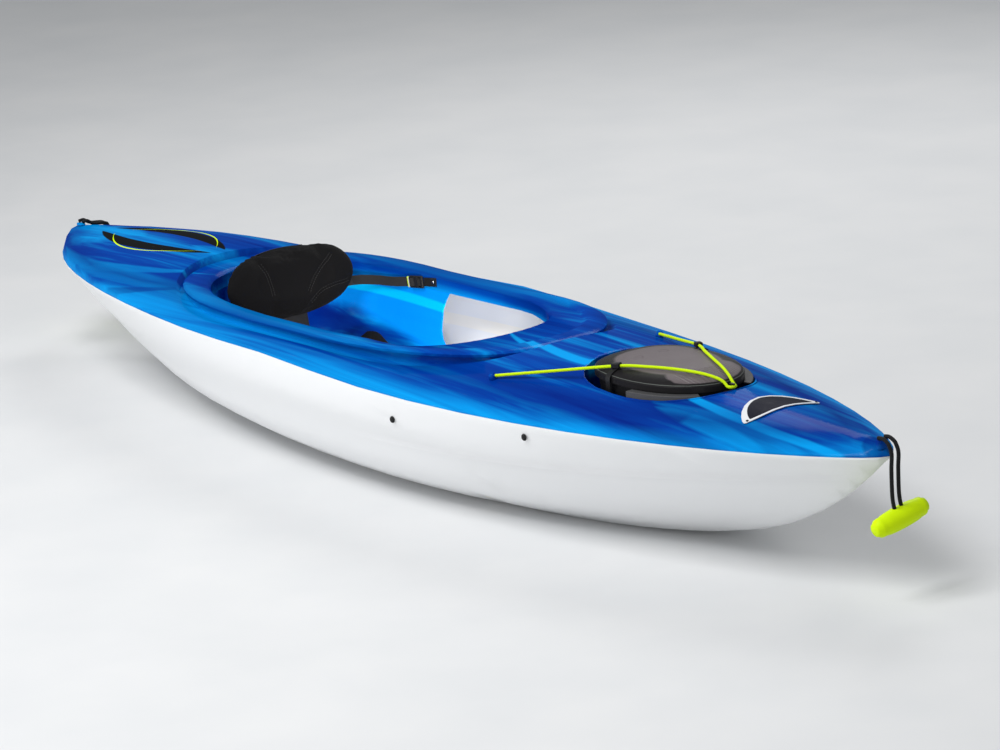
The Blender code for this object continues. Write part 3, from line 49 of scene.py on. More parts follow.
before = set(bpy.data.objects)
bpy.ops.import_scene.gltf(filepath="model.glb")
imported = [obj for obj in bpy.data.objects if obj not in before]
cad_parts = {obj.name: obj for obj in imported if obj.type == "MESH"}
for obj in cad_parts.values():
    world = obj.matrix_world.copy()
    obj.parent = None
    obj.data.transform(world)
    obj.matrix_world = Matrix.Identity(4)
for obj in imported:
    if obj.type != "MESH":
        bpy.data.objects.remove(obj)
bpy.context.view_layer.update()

UP = Vector((0, 0, 1))
SIDES = (("port", 1), ("starboard", -1))

# Camera at the picture's angle
CAMERA_PLACE = (7.84254582, -5.22733723, 2.68476607)
CAMERA_TURN = (1.30754660, 0.06853190, 0.94948486)
CAMERA_LENS = 162.0
SENSOR = 36.0

# Lamps: name, place, target, size, power in watts
LAMPS = (
    ("key", (0.5, -2.6, 4.4), (0, 0, 0.1), 2.6, 184),
    ("fill", (3.6, -4.2, 1.6), (0.3, 0, 0.1), 2.2, 40),
    ("stern_side", (-2.6, -4.0, 1.1), (-0.7, 0, 0.1), 1.8, 57),
    ("back", (-2.2, 3.0, 3.2), (0, 0, 0.2), 1.8, 60),
    ("leg_room", (0.36, -0.08, 0.165), (-0.6, 0.14, 0.16), 0.14, 1.7),
)
LEG_ROOM_SPREAD = math.radians(66)
LEG_ROOM_COLOUR = (1.0, 0.95, 0.87)
SKY_COLOUR = (0.86, 0.88, 0.9, 1)
SKY_STRENGTH = 0.42
FLOOR_TONES = ((0.66, 0.67, 0.68), (0.7, 0.705, 0.71))
FLOOR_REACH = 14

# Cord runs, in metres
BUNGEE_DIAMETER = 0.0065
BUNGEE_HALF = (
    (0.534, 0.214, 0.3017), (0.673, 0.159, 0.32515), (0.812, 0.104, 0.34861),
    (0.87, 0.076, 0.35163), (0.93, 0.05, 0.35192), (0.985, 0.029, 0.34923),
    (1.02, 0.016, 0.34325), (1.038, 0.0098, 0.336), (1.047, 0.0088, 0.3285),
    (1.05422, 0.00622, 0.3275),
)
BUNGEE_TURN = (1.0568, 0.0, 0.3275)
BUNGEE_STEP = 0.006
HANDLE_DIAMETER = 0.008
HANDLE_STEP = 0.004
BOW_CORD = (
    (1.505, 0.0085, 0.31009), (1.518, 0.0085, 0.31109), (1.529, 0.0085, 0.30709),
    (1.536, 0.0085, 0.30109), (1.5425, 0.00827, 0.28511), (1.54525, 0.00359, 0.2564),
    (1.548, 0.00048, 0.20539), (1.548, 0.00605, 0.17349), (1.548, 0.00911, 0.15779),
    (1.548, 0.00784, 0.15139), (1.548, 0.00239, 0.14782), (1.548, -0.00401, 0.14909),
    (1.548, -0.00758, 0.15454), (1.548, -0.01063, 0.17025), (1.548, -0.01625, 0.20238),
    (1.54525, -0.01338, 0.25553), (1.5425, -0.00873, 0.28507), (1.536, -0.0085, 0.30109),
    (1.529, -0.0085, 0.30709), (1.518, -0.0085, 0.31109), (1.505, -0.0085, 0.31009),
)
# One strand at the stern, as y and z
STERN_CORD_HALF = (
    (0.0, 0.27992), (0.013, 0.28092), (0.023, 0.2739), (0.033, 0.27042), (0.062, 0.26642),
    (0.069, 0.26042), (0.0755, 0.24442), (0.09025, 0.21542), (0.105, 0.18942), (0.105, 0.15692),
)
STERN_CORD_X = -1.4935
STERN_CORD_SPREAD = 0.0085
# Turn inside the stern toggle, as x from the middle and z
STERN_CORD_TURN = (
    (-0.0113, 0.1435), (-0.0085, 0.1352), (0.0, 0.1313), (0.0085, 0.1352), (0.0113, 0.1435),
)

# Toggles: places and sizes, how far past each end their swelling would close, and the radii of
# the ends with their depth
BOW_TOGGLE = (1.548, 0.0, 0.16009)
BOW_TOGGLE_TILT = math.radians(11)
STERN_TOGGLE = (-1.4935, 0.105, 0.14492)
TOGGLE_LENGTH = 0.13
TOGGLE_RADIUS = 0.0225
TOGGLE_NECK = 0.015
TOGGLE_NECK_DEPTH = 0.01
TOGGLE_CLOSE = 0.004
TOGGLE_END = ((0.0, 0.0), (0.01, 0.0), (0.0135, 0.002), (TOGGLE_NECK, 0.006))
TOGGLE_STEPS = 24
TOGGLE_RINGS = (2, 3, TOGGLE_STEPS - 2, TOGGLE_STEPS - 3)
TOGGLE_RING_DEPTH = 0.0007

# Height of the seam between hull and deck along the length, highest power first
SEAM_CURVE = (0.00323, 0.00802, -0.00977, 0.00077, 0.25624)
# Lengthwise shades of the deck: centre y, half width, start x, end x, bow, strength (light above 0)
STREAKS = (
    (-0.16, 0.05, 0.55, 1.45, 0.06, -0.75),
    (-0.02, 0.03, 0.6, 1.52, 0.02, -0.2),
    (0.09, 0.03, 0.45, 1.45, -0.02, 0.55),
    (0.2, 0.03, -1.2, 0.9, 0.05, 0.45),
    (-0.1, 0.02, -1.4, -0.7, -0.09, 0.8),
    (-0.15, 0.018, -1.45, -0.6, -0.13, -0.6),
    (0.1, 0.03, -1.4, -0.6, 0.08, 0.6),
    (0.0, 0.05, -1.52, -1.18, 0.0, 0.7),
    (-0.19, 0.03, -1.2, -0.6, -0.02, 0.5),
    (0.0, 0.04, -0.98, -0.62, 0.0, 0.6),
    (-0.128, 0.028, 0.95, 1.52, 0.02, 0.5),
    (-0.136, 0.024, 0.97, 1.34, 0.0, 0.85),
    (0.03, 0.0155, 0.24, 1.02, -0.1, 1.0),
    (-0.04, 0.014, 0.8, 1.6, -0.046, 1.0),
)
STREAK_SOFT = 0.35
# Painted highlight and painted shade along the deck's side: height over the seam, reach, strength (painted
# highlight above 0, painted shade below)
SIDE_HIGHLIGHT_AND_SHADE = ((0.004, 0.018, 0.75), (0.034, 0.02, -0.8))
# Painted shade on the walls of the pod's well: start x, end x, reach to each side, top
POD_WELL_SHADE = (0.6, 1.085, 0.16, 0.305)
# Shallow round dish on the bow, its hollow darkened with painted shade: centre x, radius, width of its edge
BOW_DISH = (1.498, 0.036, 0.006)
# Plain tapered bands on the stern deck and their bright edges: centre y, half width, start x, end x, bow
STERN_BANDS = ((0.018, 0.024, -1.36, -0.86, 0.048), (-0.018, 0.024, -1.36, -0.86, -0.048))
STERN_ACCENTS = ((0.018, 0.0024, -1.3, -0.9, 0.08), (-0.018, 0.0024, -1.3, -0.9, -0.08))
BAND_BLACK = (0.006, 0.007, 0.008)
# Seat liner: slope of its painted light along x, top of the painted shade on its foot, foot of the painted
# highlight on its wall, wall's inner y
LINER_LIGHT_AND_SHADE = (0.19, 0.074, 0.068, 0.1)
LINER_WALL_HIGHLIGHT = (0.001, 0.235, 0.8)
# Painted highlight stripe along the liner: fall with x, height, half width, start x, end x
LINER_HIGHLIGHT_STRIPE = (0.03, 0.219, 0.013, -0.7, -0.02)
LINER_HIGHLIGHT_BLUE = (0.001, 0.42, 0.86)
# Crease along the hull, darkened with painted shade: rise with the square of x, height at the middle, start
# x, end x
HULL_CREASE = (0.042, 0.137, 0.1, 1.44)
# Crease at the stem: x at the height given next, and x gained per metre of height
STEM_CREASE = (1.43, 0.175, 0.87)
# Dark lens of the badge: middle x, half length, depth aft and depth forward
BADGE_LENS = (1.205, 0.079, 0.0655, 0.0065)
# The lid: height where the painted shade that blackens its side ends, how much lower that is ahead of the x
# given next
LID_SHADE_BELOW = 0.3445
LID_FORE_DROP = (0.0085, 0.93)
# Bead round the lid with a pale line of painted highlight: height and half its width
LID_BEAD_AND_HIGHLIGHT = (0.3335, 0.0006)
# Ribs on the lid: pitch, start x, reach to each side
LID_RIBS = (0.0075, 0.945, 0.07)
# Two dimples on the lid: x, y to each side, radius
LID_DIMPLE = (0.79, 0.032, 0.011)
# Pitches of the webbing's ribs and cords, and the braid's turns per metre and round the cord
WEBBING_PITCH = (0.0021, 0.003)
BRAID_TURNS = (330, 6)

# Angles for joining the triangles of the big skins, in degrees
SKIN_QUADS = (16, 70)
# Faces inside the hull: upward tilt and greatest height of the floor, least distance to the wall
# across, lowest height, greatest downward tilt, and how far off its face a ray starts
FLOOR_TILT = 0.5
FLOOR_TOP = 0.2
WALL_APART = 0.02
KEEL_TOP = 0.03
UNDERSIDE_TILT = -0.3
RAY_START = 0.001

# Backrest, in its own plane
BACK_PIVOT = Vector((-0.564, 0, 0.105))
BACK_LEAN = math.radians(9)
BACK_CENTRE_UP = 0.173
BACK_AHEAD = 0.12
# Sewn seams as places across and up, or across and ahead on the seat
BACK_SEAMS = (
    ((-0.077, 0.054), (-0.073, 0.038), (-0.068, 0.018), (-0.064, -0.002), (-0.061, -0.022)),
    ((0.106, 0.044), (0.091, 0.032), (0.075, 0.021), (0.058, 0.006), (0.045, -0.01), (0.033, -0.03)),
    ((0.142, -0.022), (0.127, -0.024), (0.1, -0.025), (0.076, -0.03), (0.058, -0.04), (0.041, -0.057)),
)
SEAT_SEAMS = (
    ((-0.092, -0.12), (-0.08648, 0), (-0.092, 0.12)),
    ((0.092, -0.12), (0.08648, 0), (0.092, 0.12)),
    ((-0.092, 0.02), (0, 0.012), (0.092, 0.02)),
)
BACK_SEAM_WIDTH = 0.0045
SEAT_SEAM_WIDTH = 0.005
SEAT_PAD_CENTRE_X = -0.4035
SEAT_ABOVE = 0.3
# How far each cover shrinks before it swells
BACK_SHRINK = 0.0002
SEAT_SHRINK = 0.0015
CLOTH_VOXEL = 0.005
CLOTH_FRAMES = 20
CLOTH = {
    "quality": 5, "mass": 0.3, "use_pressure": True, "uniform_pressure_force": 4.0,
    "tension_stiffness": 20, "compression_stiffness": 20, "shear_stiffness": 10, "bending_stiffness": 1.0,
}
SEAM_FACING = 0.3
SEAM_STEP = 0.004
STITCH_GAP = 0.0032
STITCH_PITCH = 0.0062
STITCH_SIZE = (0.0019, 0.00045, 0.00045)
STITCH_LIFT = 0.0001

# Straps: two reaches from the fore end that give its direction; then the tack's place and size,
# the pale blocks of painted highlight on the buckle's bars, and the tail
STRAP_END_REACHES = (0.06, 0.002)
TACK_BACK = 0.006
TACK_SIZE = (0.0048, 0.0036, 0.0235)
HIGHLIGHT_BAR_SHARES = (-0.4, 0.44)
HIGHLIGHT_BAR_OUT = 0.0046
HIGHLIGHT_BAR_SIZE = (0.0022, 0.002, 0.0235)
TAIL_SHARE = 0.84
TAIL_SIZE = (0.0012, 0.02)

# Which body each node rides on, by the start of its name; the rest ride on the kayak
NODE_BODIES = {
    "pod_tub": "pod", "pod_gasket": "pod", "pod_grip": "pod", "pod_lid": "lid", "pod_clip": "lid",
    "backrest_shell": "backrest", "drain_plug": "drain_plug", "drain_seal": "drain_plug",
    "footrest_pedal_port": "footrest_port", "footrest_pedal_starboard": "footrest_starboard",
    "footrest_lever_port": "lever_port", "footrest_lever_starboard": "lever_starboard",
}

# The slot of each look whose slot has another name
LOOK_SLOTS = {
    "black": "moulded_black", "grip": "moulded_black", "deck": "deck_plastic",
    "lid": "lid_grey", "rubber": "seal_rubber",
}


def colour_setting(name, description, default):
    limits = {"default": default, "min": 0, "max": 1}
    return FloatVectorProperty(name=name, description=description, **limits, subtype="COLOR")


def length_setting(name, description, default, least, most):
    limits = {"default": default, "min": least, "max": most}
    return FloatProperty(name=name, description=description, **limits, unit="LENGTH")


class KayakSettings(bpy.types.PropertyGroup):
    deck_blue: colour_setting("Deck blue", "Main blue of the deck and seat liner", (0.0005, 0.052, 0.34))
    # Deck light blue also paints the highlight along the deck's side; deck navy also paints the shade along
    # the side, in the pod's well, in the bow's dish and on the liner's foot
    deck_light_and_highlight: colour_setting("Deck light blue", "Lighter streaks along the deck", (0.002, 0.3, 0.74))
    deck_navy_and_shade: colour_setting("Deck navy", "Darkest streaks along the deck", (0.0004, 0.015, 0.19))
    hull_white: colour_setting("Hull white", "Colour of the hull", (0.8, 0.81, 0.82))
    neon: colour_setting("Neon", "Colour of the bungee, toggles and thin accents", (0.66, 0.92, 0.003))
    lid_grey: colour_setting("Lid grey", "Colour of the pod's lid", (0.128, 0.108, 0.114))
    fabric_black: colour_setting("Fabric black", "Colour of the seat fabric", (0.0035, 0.0035, 0.0038))
    weave_pitch: length_setting("Weave pitch", "Distance between two threads", 0.0016, 0.0005, 0.01)
    seam_depth: length_setting("Seam depth", "How deep the sewn seams sink into the pads", 0.0045, 0, 0.01)
    pad_swell: length_setting("Pad swell", "The furthest that a pad's cover may swell", 0.009, 0, 0.016)


# Nodes of the materials


def math_step(operation, turned=False):
    """A method that adds one Math node; turned puts the level second."""

    def method(self, other=0.0):
        first, second = (other, self) if turned else (self, other)
        return calc(self.tree, operation, first, second)

    return method


class Level:
    """A value in a node tree; a sum such as a * b + 1 adds the nodes that work it out."""

    def __init__(self, tree, socket):
        self.tree = tree
        self.socket = socket

    __add__ = math_step("ADD")
    __sub__ = math_step("SUBTRACT")
    __rsub__ = math_step("SUBTRACT", True)
    __mul__ = math_step("MULTIPLY")
    __truediv__ = math_step("DIVIDE")
    __pow__ = math_step("POWER")
    __abs__ = math_step("ABSOLUTE")
    over = math_step("GREATER_THAN")
    sine = math_step("SINE")

    def held(self):
        """The value held between 0 and 1."""
        return calc(self.tree, "ADD", self, 0.0, clamp=True)

    def past(self, start, steepness):
        """0 up to the start, then rising to 1."""
        return calc(self.tree, "MULTIPLY", self - start, steepness, clamp=True)

    def short_of(self, end, steepness):
        """1, falling to 0 at the end."""
        return calc(self.tree, "MULTIPLY", end - self, steepness, clamp=True)


def give(tree, spot, value):
    """Links or sets one input of a node; a plain colour gets its alpha here."""
    if isinstance(value, Level):
        value = value.socket
    if isinstance(value, bpy.types.NodeSocket):
        tree.links.new(value, spot)
    else:
        spot.default_value = (*value, 1) if spot.type == "RGBA" else value


def add(tree, kind, inputs=None, **settings):
    """A shader node with its settings and its inputs, each a value, a level or a socket."""
    made = tree.nodes.new("ShaderNode" + kind)
    for key, value in settings.items():
        setattr(made, key, value)
    for key, value in (inputs or {}).items():
        give(tree, made.inputs[key], value)
    return made


def calc(tree, operation, first, second=0.0, third=0.0, clamp=False):
    made = add(tree, "Math", {0: first, 1: second, 2: third}, operation=operation, use_clamp=clamp)
    return Level(tree, made.outputs[0])


def distance(ahead, side):
    return calc(ahead.tree, "SQRT", ahead * ahead + side * side)


def blend(share, first, second):
    """From the first colour to the second by the share."""
    made = add(share.tree, "Mix", {0: share, 6: first, 7: second}, data_type="RGBA")
    return Level(share.tree, made.outputs[2])


def ramp(value, stops):
    """A colour ramp; each stop is a place and a colour."""
    made = add(value.tree, "ValToRGB", {0: value})
    elements = made.color_ramp.elements
    while len(elements) < len(stops):
        elements.new(0.5)
    for element, (spot, colour) in zip(elements, stops):
        element.position = spot
        element.color = (*colour, 1)
    return Level(value.tree, made.outputs[0])


def spots(tree):
    """Where a point lies on the object: the whole vector, then x, y and z."""
    where = add(tree, "TexCoord").outputs["Object"]
    apart = add(tree, "SeparateXYZ", {0: where})
    return where, *(Level(tree, spot) for spot in apart.outputs)


def stretched(tree, scale):
    where = add(tree, "TexCoord").outputs["Object"]
    return add(tree, "Mapping", {"Vector": where, "Scale": scale}).outputs[0]


def noise(tree, vector, scale, detail=2.0, rough=0.6, distortion=0.0):
    inputs = {"Vector": vector, "Scale": scale, "Detail": detail, "Roughness": rough}
    made = add(tree, "TexNoise", {**inputs, "Distortion": distortion})
    return Level(tree, made.outputs["Fac"])


def open_group(name, inputs=None):
    """A shader group and its inputs by label; a default of three numbers makes a colour."""
    group = bpy.data.node_groups.new(name, "ShaderNodeTree")
    for label, default in (inputs or {}).items():
        coloured = isinstance(default, tuple)
        kind = "NodeSocketColor" if coloured else "NodeSocketFloat"
        socket = group.interface.new_socket(label, in_out="INPUT", socket_type=kind)
        socket.default_value = (*default, 1) if coloured else default
    way_in = group.nodes.new("NodeGroupInput").outputs
    return group, {label: Level(group, way_in[label]) for label in inputs or {}}


def close_group(group, colour, roughness, height):
    """Leads the colour, the roughness and the relief's height out of the group."""
    group.interface.new_socket("Colour", in_out="OUTPUT", socket_type="NodeSocketColor")
    for label in ("Roughness", "Height"):
        group.interface.new_socket(label, in_out="OUTPUT", socket_type="NodeSocketFloat")
    way_out = group.nodes.new("NodeGroupOutput").inputs
    for spot, value in zip(way_out, (colour, roughness, height)):
        give(group, spot, value)
    return group


def moulded_group():
    """Fine moulded grain, soft unevenness and scuffs, for every plastic here."""
    plain = {"Grain scale": 900.0, "Base roughness": 0.3, "Mottle": 0.1, "Scuffs": 0.0}
    group, given = open_group("Moulded grain", {"Colour": (0.5, 0.5, 0.5), **plain})
    where = stretched(group, (1, 1, 1))
    grain = noise(group, where, given["Grain scale"])
    cloudy = noise(group, where, 9.0, 4.0) * given["Mottle"]
    scratch = noise(group, stretched(group, (30, 900, 900)), 1.0, 2.0, 0.5, 0.2)
    scuffs = scratch.past(0.64, 1 / 0.12) * given["Scuffs"]
    tone = blend(cloudy, given["Colour"], (0.02, 0.02, 0.025))
    tone = blend(scuffs, tone, (0.6, 0.6, 0.62))
    rough = scuffs * 1.2 + (cloudy * 0.9 + given["Base roughness"])
    return close_group(group, tone, rough, scuffs * -1.5 + grain)


def band(x, y, centre, half, start, end, bow=0.0, soft=0.12):
    """A mask for a lengthwise band that tapers to both ends; bow bends it sideways in the middle."""
    share = ((x - start) / (end - start)).held()
    swell = share * (1.0 - share) * 4.0
    away = abs(y - swell * bow - centre)
    return ((swell**0.7 * half - away) / (half * soft)).held()


def poured_blue(group, kit):
    """Plastic poured in several blues from bow to stern, and the noise that frays its bands."""
    broad = noise(group, stretched(group, (0.42, 5.2, 6.5)), 1.0, 2.5, 0.5, 0.5)
    narrow = noise(group, stretched(group, (0.9, 24, 26)), 1.0, 3.0, 0.6, 0.6)
    thin = noise(group, stretched(group, (1.6, 90, 90)), 1.0, 2.0, 0.5, 0.3)
    mixed = thin * 0.08 + (narrow * 0.42 + broad * 0.62 - 0.04)
    navy, blue, light = (Vector(tone) for tone in (kit.deck_navy_and_shade, kit.deck_blue, kit.deck_light_and_highlight))
    between = (navy.lerp(blue, 0.6), blue.lerp(light, 0.4))
    stops = zip((0.38, 0.45, 0.52, 0.59, 0.68), (navy, between[0], blue, between[1], light))
    return ramp(mixed, list(stops)), narrow


def close_poured(group, where, colour, relief=0.0):
    """The scuffs, the gloss and the ripple that deck and liner share."""
    cloudy = noise(group, where, 7.0, 4.0)
    scratch = noise(group, stretched(group, (10, 170, 170)), 1.0, 3.0, 0.65, 0.4)
    scuffs = scratch.past(0.68, 1 / 0.12)
    colour = blend(scuffs * 0.035, colour, (0.6, 0.7, 0.8))
    ripple = noise(group, where, 30.0, 2.0, 0.5)
    peel = noise(group, where, 420.0, 2.0, 0.5)
    rough = scuffs * 0.1 + (cloudy * 0.1 + 0.22)
    return close_group(group, colour, rough, ripple * 1.6 + peel * 0.22 + relief)


def deck_group(kit):
    """The deck's blue with its streaks, the stern's plain bands and the bow's dish, with painted highlight
    and shade along the side and painted shade in the pod's well and the dish.
    """
    group, _ = open_group("Poured streaks and painted light")
    where, x, y, z = spots(group)
    colour, narrow = poured_blue(group, kit)
    wander = noise(group, stretched(group, (2.2, 0, 0)), 1.0, 2.0, 0.5) * 0.016 - 0.008
    bent = y + wander
    torn = (narrow * 1.5 + 0.1).held()
    for centre, half, start, end, bow, share in STREAKS:
        laid = band(x, bent, centre, half, start, end, bow, STREAK_SOFT)
        frayed = laid if share >= 1 else laid * torn
        colour = blend(frayed * abs(share), colour, kit.deck_light_and_highlight if share > 0 else kit.deck_navy_and_shade)
    seam = 0.0
    for factor in SEAM_CURVE:
        seam = x * seam + factor
    rise = z - seam + wander
    # Painted highlight just over the seam, and a band of painted shade above it
    for centre, half, share in SIDE_HIGHLIGHT_AND_SHADE:
        laid = (1.0 - abs(rise - centre) / half).held() * torn
        colour = blend(laid * abs(share), colour, kit.deck_light_and_highlight if share > 0 else kit.deck_navy_and_shade)
    # Painted shade darkens the walls of the pod's well
    well_shade = abs(y).short_of(POD_WELL_SHADE[2], 90.0) * x.past(POD_WELL_SHADE[0], 60.0) * x.short_of(POD_WELL_SHADE[1], 60.0)
    colour = blend(well_shade * z.short_of(POD_WELL_SHADE[3], 70.0) * 0.85, colour, kit.deck_navy_and_shade)
    for bands, tone in ((STERN_BANDS, BAND_BLACK), (STERN_ACCENTS, kit.neon)):
        left, right = (band(x, y, *line) for line in bands)
        marks = calc(group, "MAXIMUM", left, right) * z.over(0.2)
        colour = blend(marks, colour, tone)
    dish = distance(x - BOW_DISH[0], y).short_of(BOW_DISH[1], 1 / BOW_DISH[2]) * z.over(0.25)
    # Painted shade darkens the dish's hollow; the relief below sinks it
    colour = blend(dish * 0.55, colour, kit.deck_navy_and_shade)
    return close_poured(group, where, colour, dish * -3.5)


def liner_group(kit):
    """The seat liner's blue, with painted shade on its foot, a painted highlight on its wall and a painted
    highlight stripe along it.
    """
    group, _ = open_group("Liner streaks and painted light")
    where, x, y, z = spots(group)
    colour, narrow = poured_blue(group, kit)
    slope, shade_top, highlight_foot, wall_inner = LINER_LIGHT_AND_SHADE
    sloped = x * slope + z + narrow * 0.012
    wall = abs(y).past(wall_inner, 25.0)
    # Painted shade darkens the liner's foot and painted highlight brightens its wall
    colour = blend(sloped.short_of(shade_top, 60.0) * 0.7, colour, kit.deck_navy_and_shade)
    colour = blend(sloped.past(highlight_foot, 50.0) * wall * 0.92, colour, LINER_WALL_HIGHLIGHT)
    # Painted highlight: a light stripe along the liner's wall
    fall, height, half, start, end = LINER_HIGHLIGHT_STRIPE
    highlight_stripe = band(x, x * fall + (narrow * 0.012 + z), height, half, start, end, 0.0, 0.3)
    return close_poured(group, where, blend(highlight_stripe * wall, colour, LINER_HIGHLIGHT_BLUE))


def hull_group():
    """White moulded plastic with the faint creases of its mould, and painted shade along the hull's crease.
    """
    group, given = open_group("Hull with creases", {"Colour": (0.86, 0.87, 0.88)})
    where, x, _, z = spots(group)
    bend, middle, start, end = HULL_CREASE
    rise = z - (x * x * bend + middle)
    reach = x.past(start, 3.0) * x.short_of(end, 20.0)
    crease = (rise * 70.0 + 0.5).held() * reach
    stem = (z - STEM_CREASE[1]) * STEM_CREASE[2] + STEM_CREASE[0]
    beyond = x.past(stem, 90.0)
    grain = noise(group, where, 260.0)
    cloudy = noise(group, where, 5.0, 3.0, 0.5)
    # Painted shade along the crease
    crease_shade = (1.0 - abs(rise) * 45.0).held() * reach
    tone = blend(cloudy * 0.04, given["Colour"], (0.5, 0.5, 0.52))
    tone = blend(crease_shade * 0.1, tone, (0.45, 0.44, 0.47))
    return close_group(group, tone, grain * 0.04 + 0.27, crease * -22.0 + (beyond * -26.0 + grain))


def badge_group():
    """Pale plate whose inner lens is dark."""
    group, _ = open_group("Badge with a dark lens")
    where, x, y, _ = spots(group)
    middle, half, depth_aft, depth_fore = BADGE_LENS
    ahead = x - middle
    across = y / half
    bow = (1.0 - across * across).held() ** 0.8
    inside = calc(group, "MINIMUM", bow * depth_fore - ahead, bow * depth_aft + ahead)
    inner = (inside * 2500.0).held()
    grain = noise(group, where, 900.0)
    cloudy = noise(group, where, 30.0, 3.0, 0.5)
    tone = blend(inner, (0.72, 0.73, 0.75), (0.006, 0.007, 0.016))
    tone = blend(cloudy * 0.03, tone, (0.1, 0.1, 0.11))
    return close_group(group, tone, cloudy * 0.15 + 0.3, inner * -3.0 + grain)


def lid_group(kit):
    """The pod's cover: grey-brown top, its side blackened with painted shade, a bead with a pale painted
    highlight, dimples and fine ribs.
    """
    group, _ = open_group("Cover of the pod")
    where, x, y, z = spots(group)
    drop, drop_start = LID_FORE_DROP
    # Painted shade blackens the lid's side below the top; painted highlight makes a pale line on the bead
    top = z.past(x.past(drop_start, 20.0) * -drop + LID_SHADE_BELOW, 800.0)
    bead_and_highlight = calc(group, "COMPARE", z, *LID_BEAD_AND_HIGHLIGHT)
    cloudy = noise(group, where, 14.0, 4.0)
    tone = blend(top, (0.01, 0.01, 0.0105), kit.lid_grey)
    tone = blend(bead_and_highlight, tone, (0.1, 0.11, 0.1))
    tone = blend(cloudy * 0.14, tone, (0.06, 0.05, 0.055))
    pitch, ribs_start, ribs_reach = LID_RIBS
    ribs = (y * (2 * math.pi / pitch)).sine() * x.past(ribs_start, 60.0)
    ribs = ribs * (abs(y).short_of(ribs_reach, 200.0) * top)
    dimple_x, dimple_y, radius = LID_DIMPLE
    dimple = distance(x - dimple_x, abs(y) - dimple_y).short_of(radius, 250.0)
    grain = noise(group, where, 800.0)
    height = bead_and_highlight * 2.0 + (dimple * -5.0 + (ribs * 1.6 + grain))
    return close_group(group, tone, cloudy * 0.14 + 0.3, height)


def weave_group(pitch):
    """Plain weave: threads over and under each other in two directions."""
    group, given = open_group("Plain weave", {"Colour": (0.02, 0.02, 0.02)})
    where, x, y, z = spots(group)
    turn = 2 * math.pi / pitch
    threads = (y * turn).sine() * ((z + x) * turn).sine() * 0.5 + 0.5
    cloudy = noise(group, where, 22.0, 4.0)
    fluff = noise(group, where, 1400.0)
    tone = blend(threads * 0.35, given["Colour"], (0.013, 0.013, 0.0145))
    tone = blend(cloudy * 0.22, tone, (0.012, 0.011, 0.012))
    return close_group(group, tone, cloudy * 0.2 + 0.62, fluff * 0.3 + threads)


def braid_group():
    """Braided sheath on a cord whose map runs in metres along it and once round it."""
    group, given = open_group("Braided sheath", {"Colour": (0.02, 0.02, 0.02), "Fleck": (0.1, 0.1, 0.1)})
    flat = add(group, "SeparateXYZ", {0: add(group, "UVMap", uv_map="UVMap").outputs[0]}).outputs
    run, turn = (Level(group, spot) * (2 * math.pi * count) for spot, count in zip(flat, BRAID_TURNS))
    ridge = calc(group, "MAXIMUM", (run + turn).sine(), (run - turn).sine())
    lifted = (ridge * 0.5 + 0.5).held()
    dark = 1.0 - lifted
    cloudy = noise(group, stretched(group, (1, 1, 1)), 60.0, 3.0)
    tone = blend(dark * 0.55, given["Colour"], given["Fleck"])
    tone = blend(cloudy * 0.18, tone, given["Fleck"])
    return close_group(group, tone, dark * 0.25 + 0.45, lifted)


def webbing_group():
    """Ribbed polyester webbing."""
    group, given = open_group("Ribbed webbing", {"Colour": (0.02, 0.02, 0.02)})
    where, x, y, z = spots(group)
    ribs = ((x + y) * (2 * math.pi / WEBBING_PITCH[0])).sine()
    height = ribs * (z * (2 * math.pi / WEBBING_PITCH[1])).sine() * 0.5 + 0.5
    cloudy = noise(group, where, 80.0, 3.0)
    tone = blend(height * 0.5, given["Colour"], (0.036, 0.036, 0.038))
    tone = blend(cloudy * 0.2, tone, (0.028, 0.027, 0.026))
    return close_group(group, tone, cloudy * 0.2 + 0.5, height)


def cell_group():
    """Closed-cell foam: small packed cells."""
    group, given = open_group("Foam cells", {"Colour": (0.7, 0.7, 0.7)})
    where = add(group, "TexCoord").outputs["Object"]
    packed = add(group, "TexVoronoi", {"Vector": where, "Scale": 260.0})
    cells = Level(group, packed.outputs["Distance"])
    tone = blend(cells * 0.4, given["Colour"], (0.35, 0.35, 0.36))
    return close_group(group, tone, cells * 0.2 + 0.7, cells)


def shader(name, group, values, bump, strength, specular=0.5, more=None):
    """A material; its colour, roughness and relief come from a group, the rest is set on the shader."""
    made = bpy.data.materials.new(name)
    made.use_nodes = True
    tree = made.node_tree
    shade = tree.nodes["Principled BSDF"].inputs
    given = tree.nodes.new("ShaderNodeGroup")
    given.node_tree = group
    for key, value in values.items():
        give(tree, given.inputs[key], value)
    relief = {"Strength": strength, "Distance": bump, "Height": given.outputs["Height"]}
    tree.links.new(given.outputs["Colour"], shade["Base Color"])
    tree.links.new(given.outputs["Roughness"], shade["Roughness"])
    tree.links.new(add(tree, "Bump", relief).outputs[0], shade["Normal"])
    shade["Specular IOR Level"].default_value = specular
    for key, value in (more or {}).items():
        shade[key].default_value = value
    return made


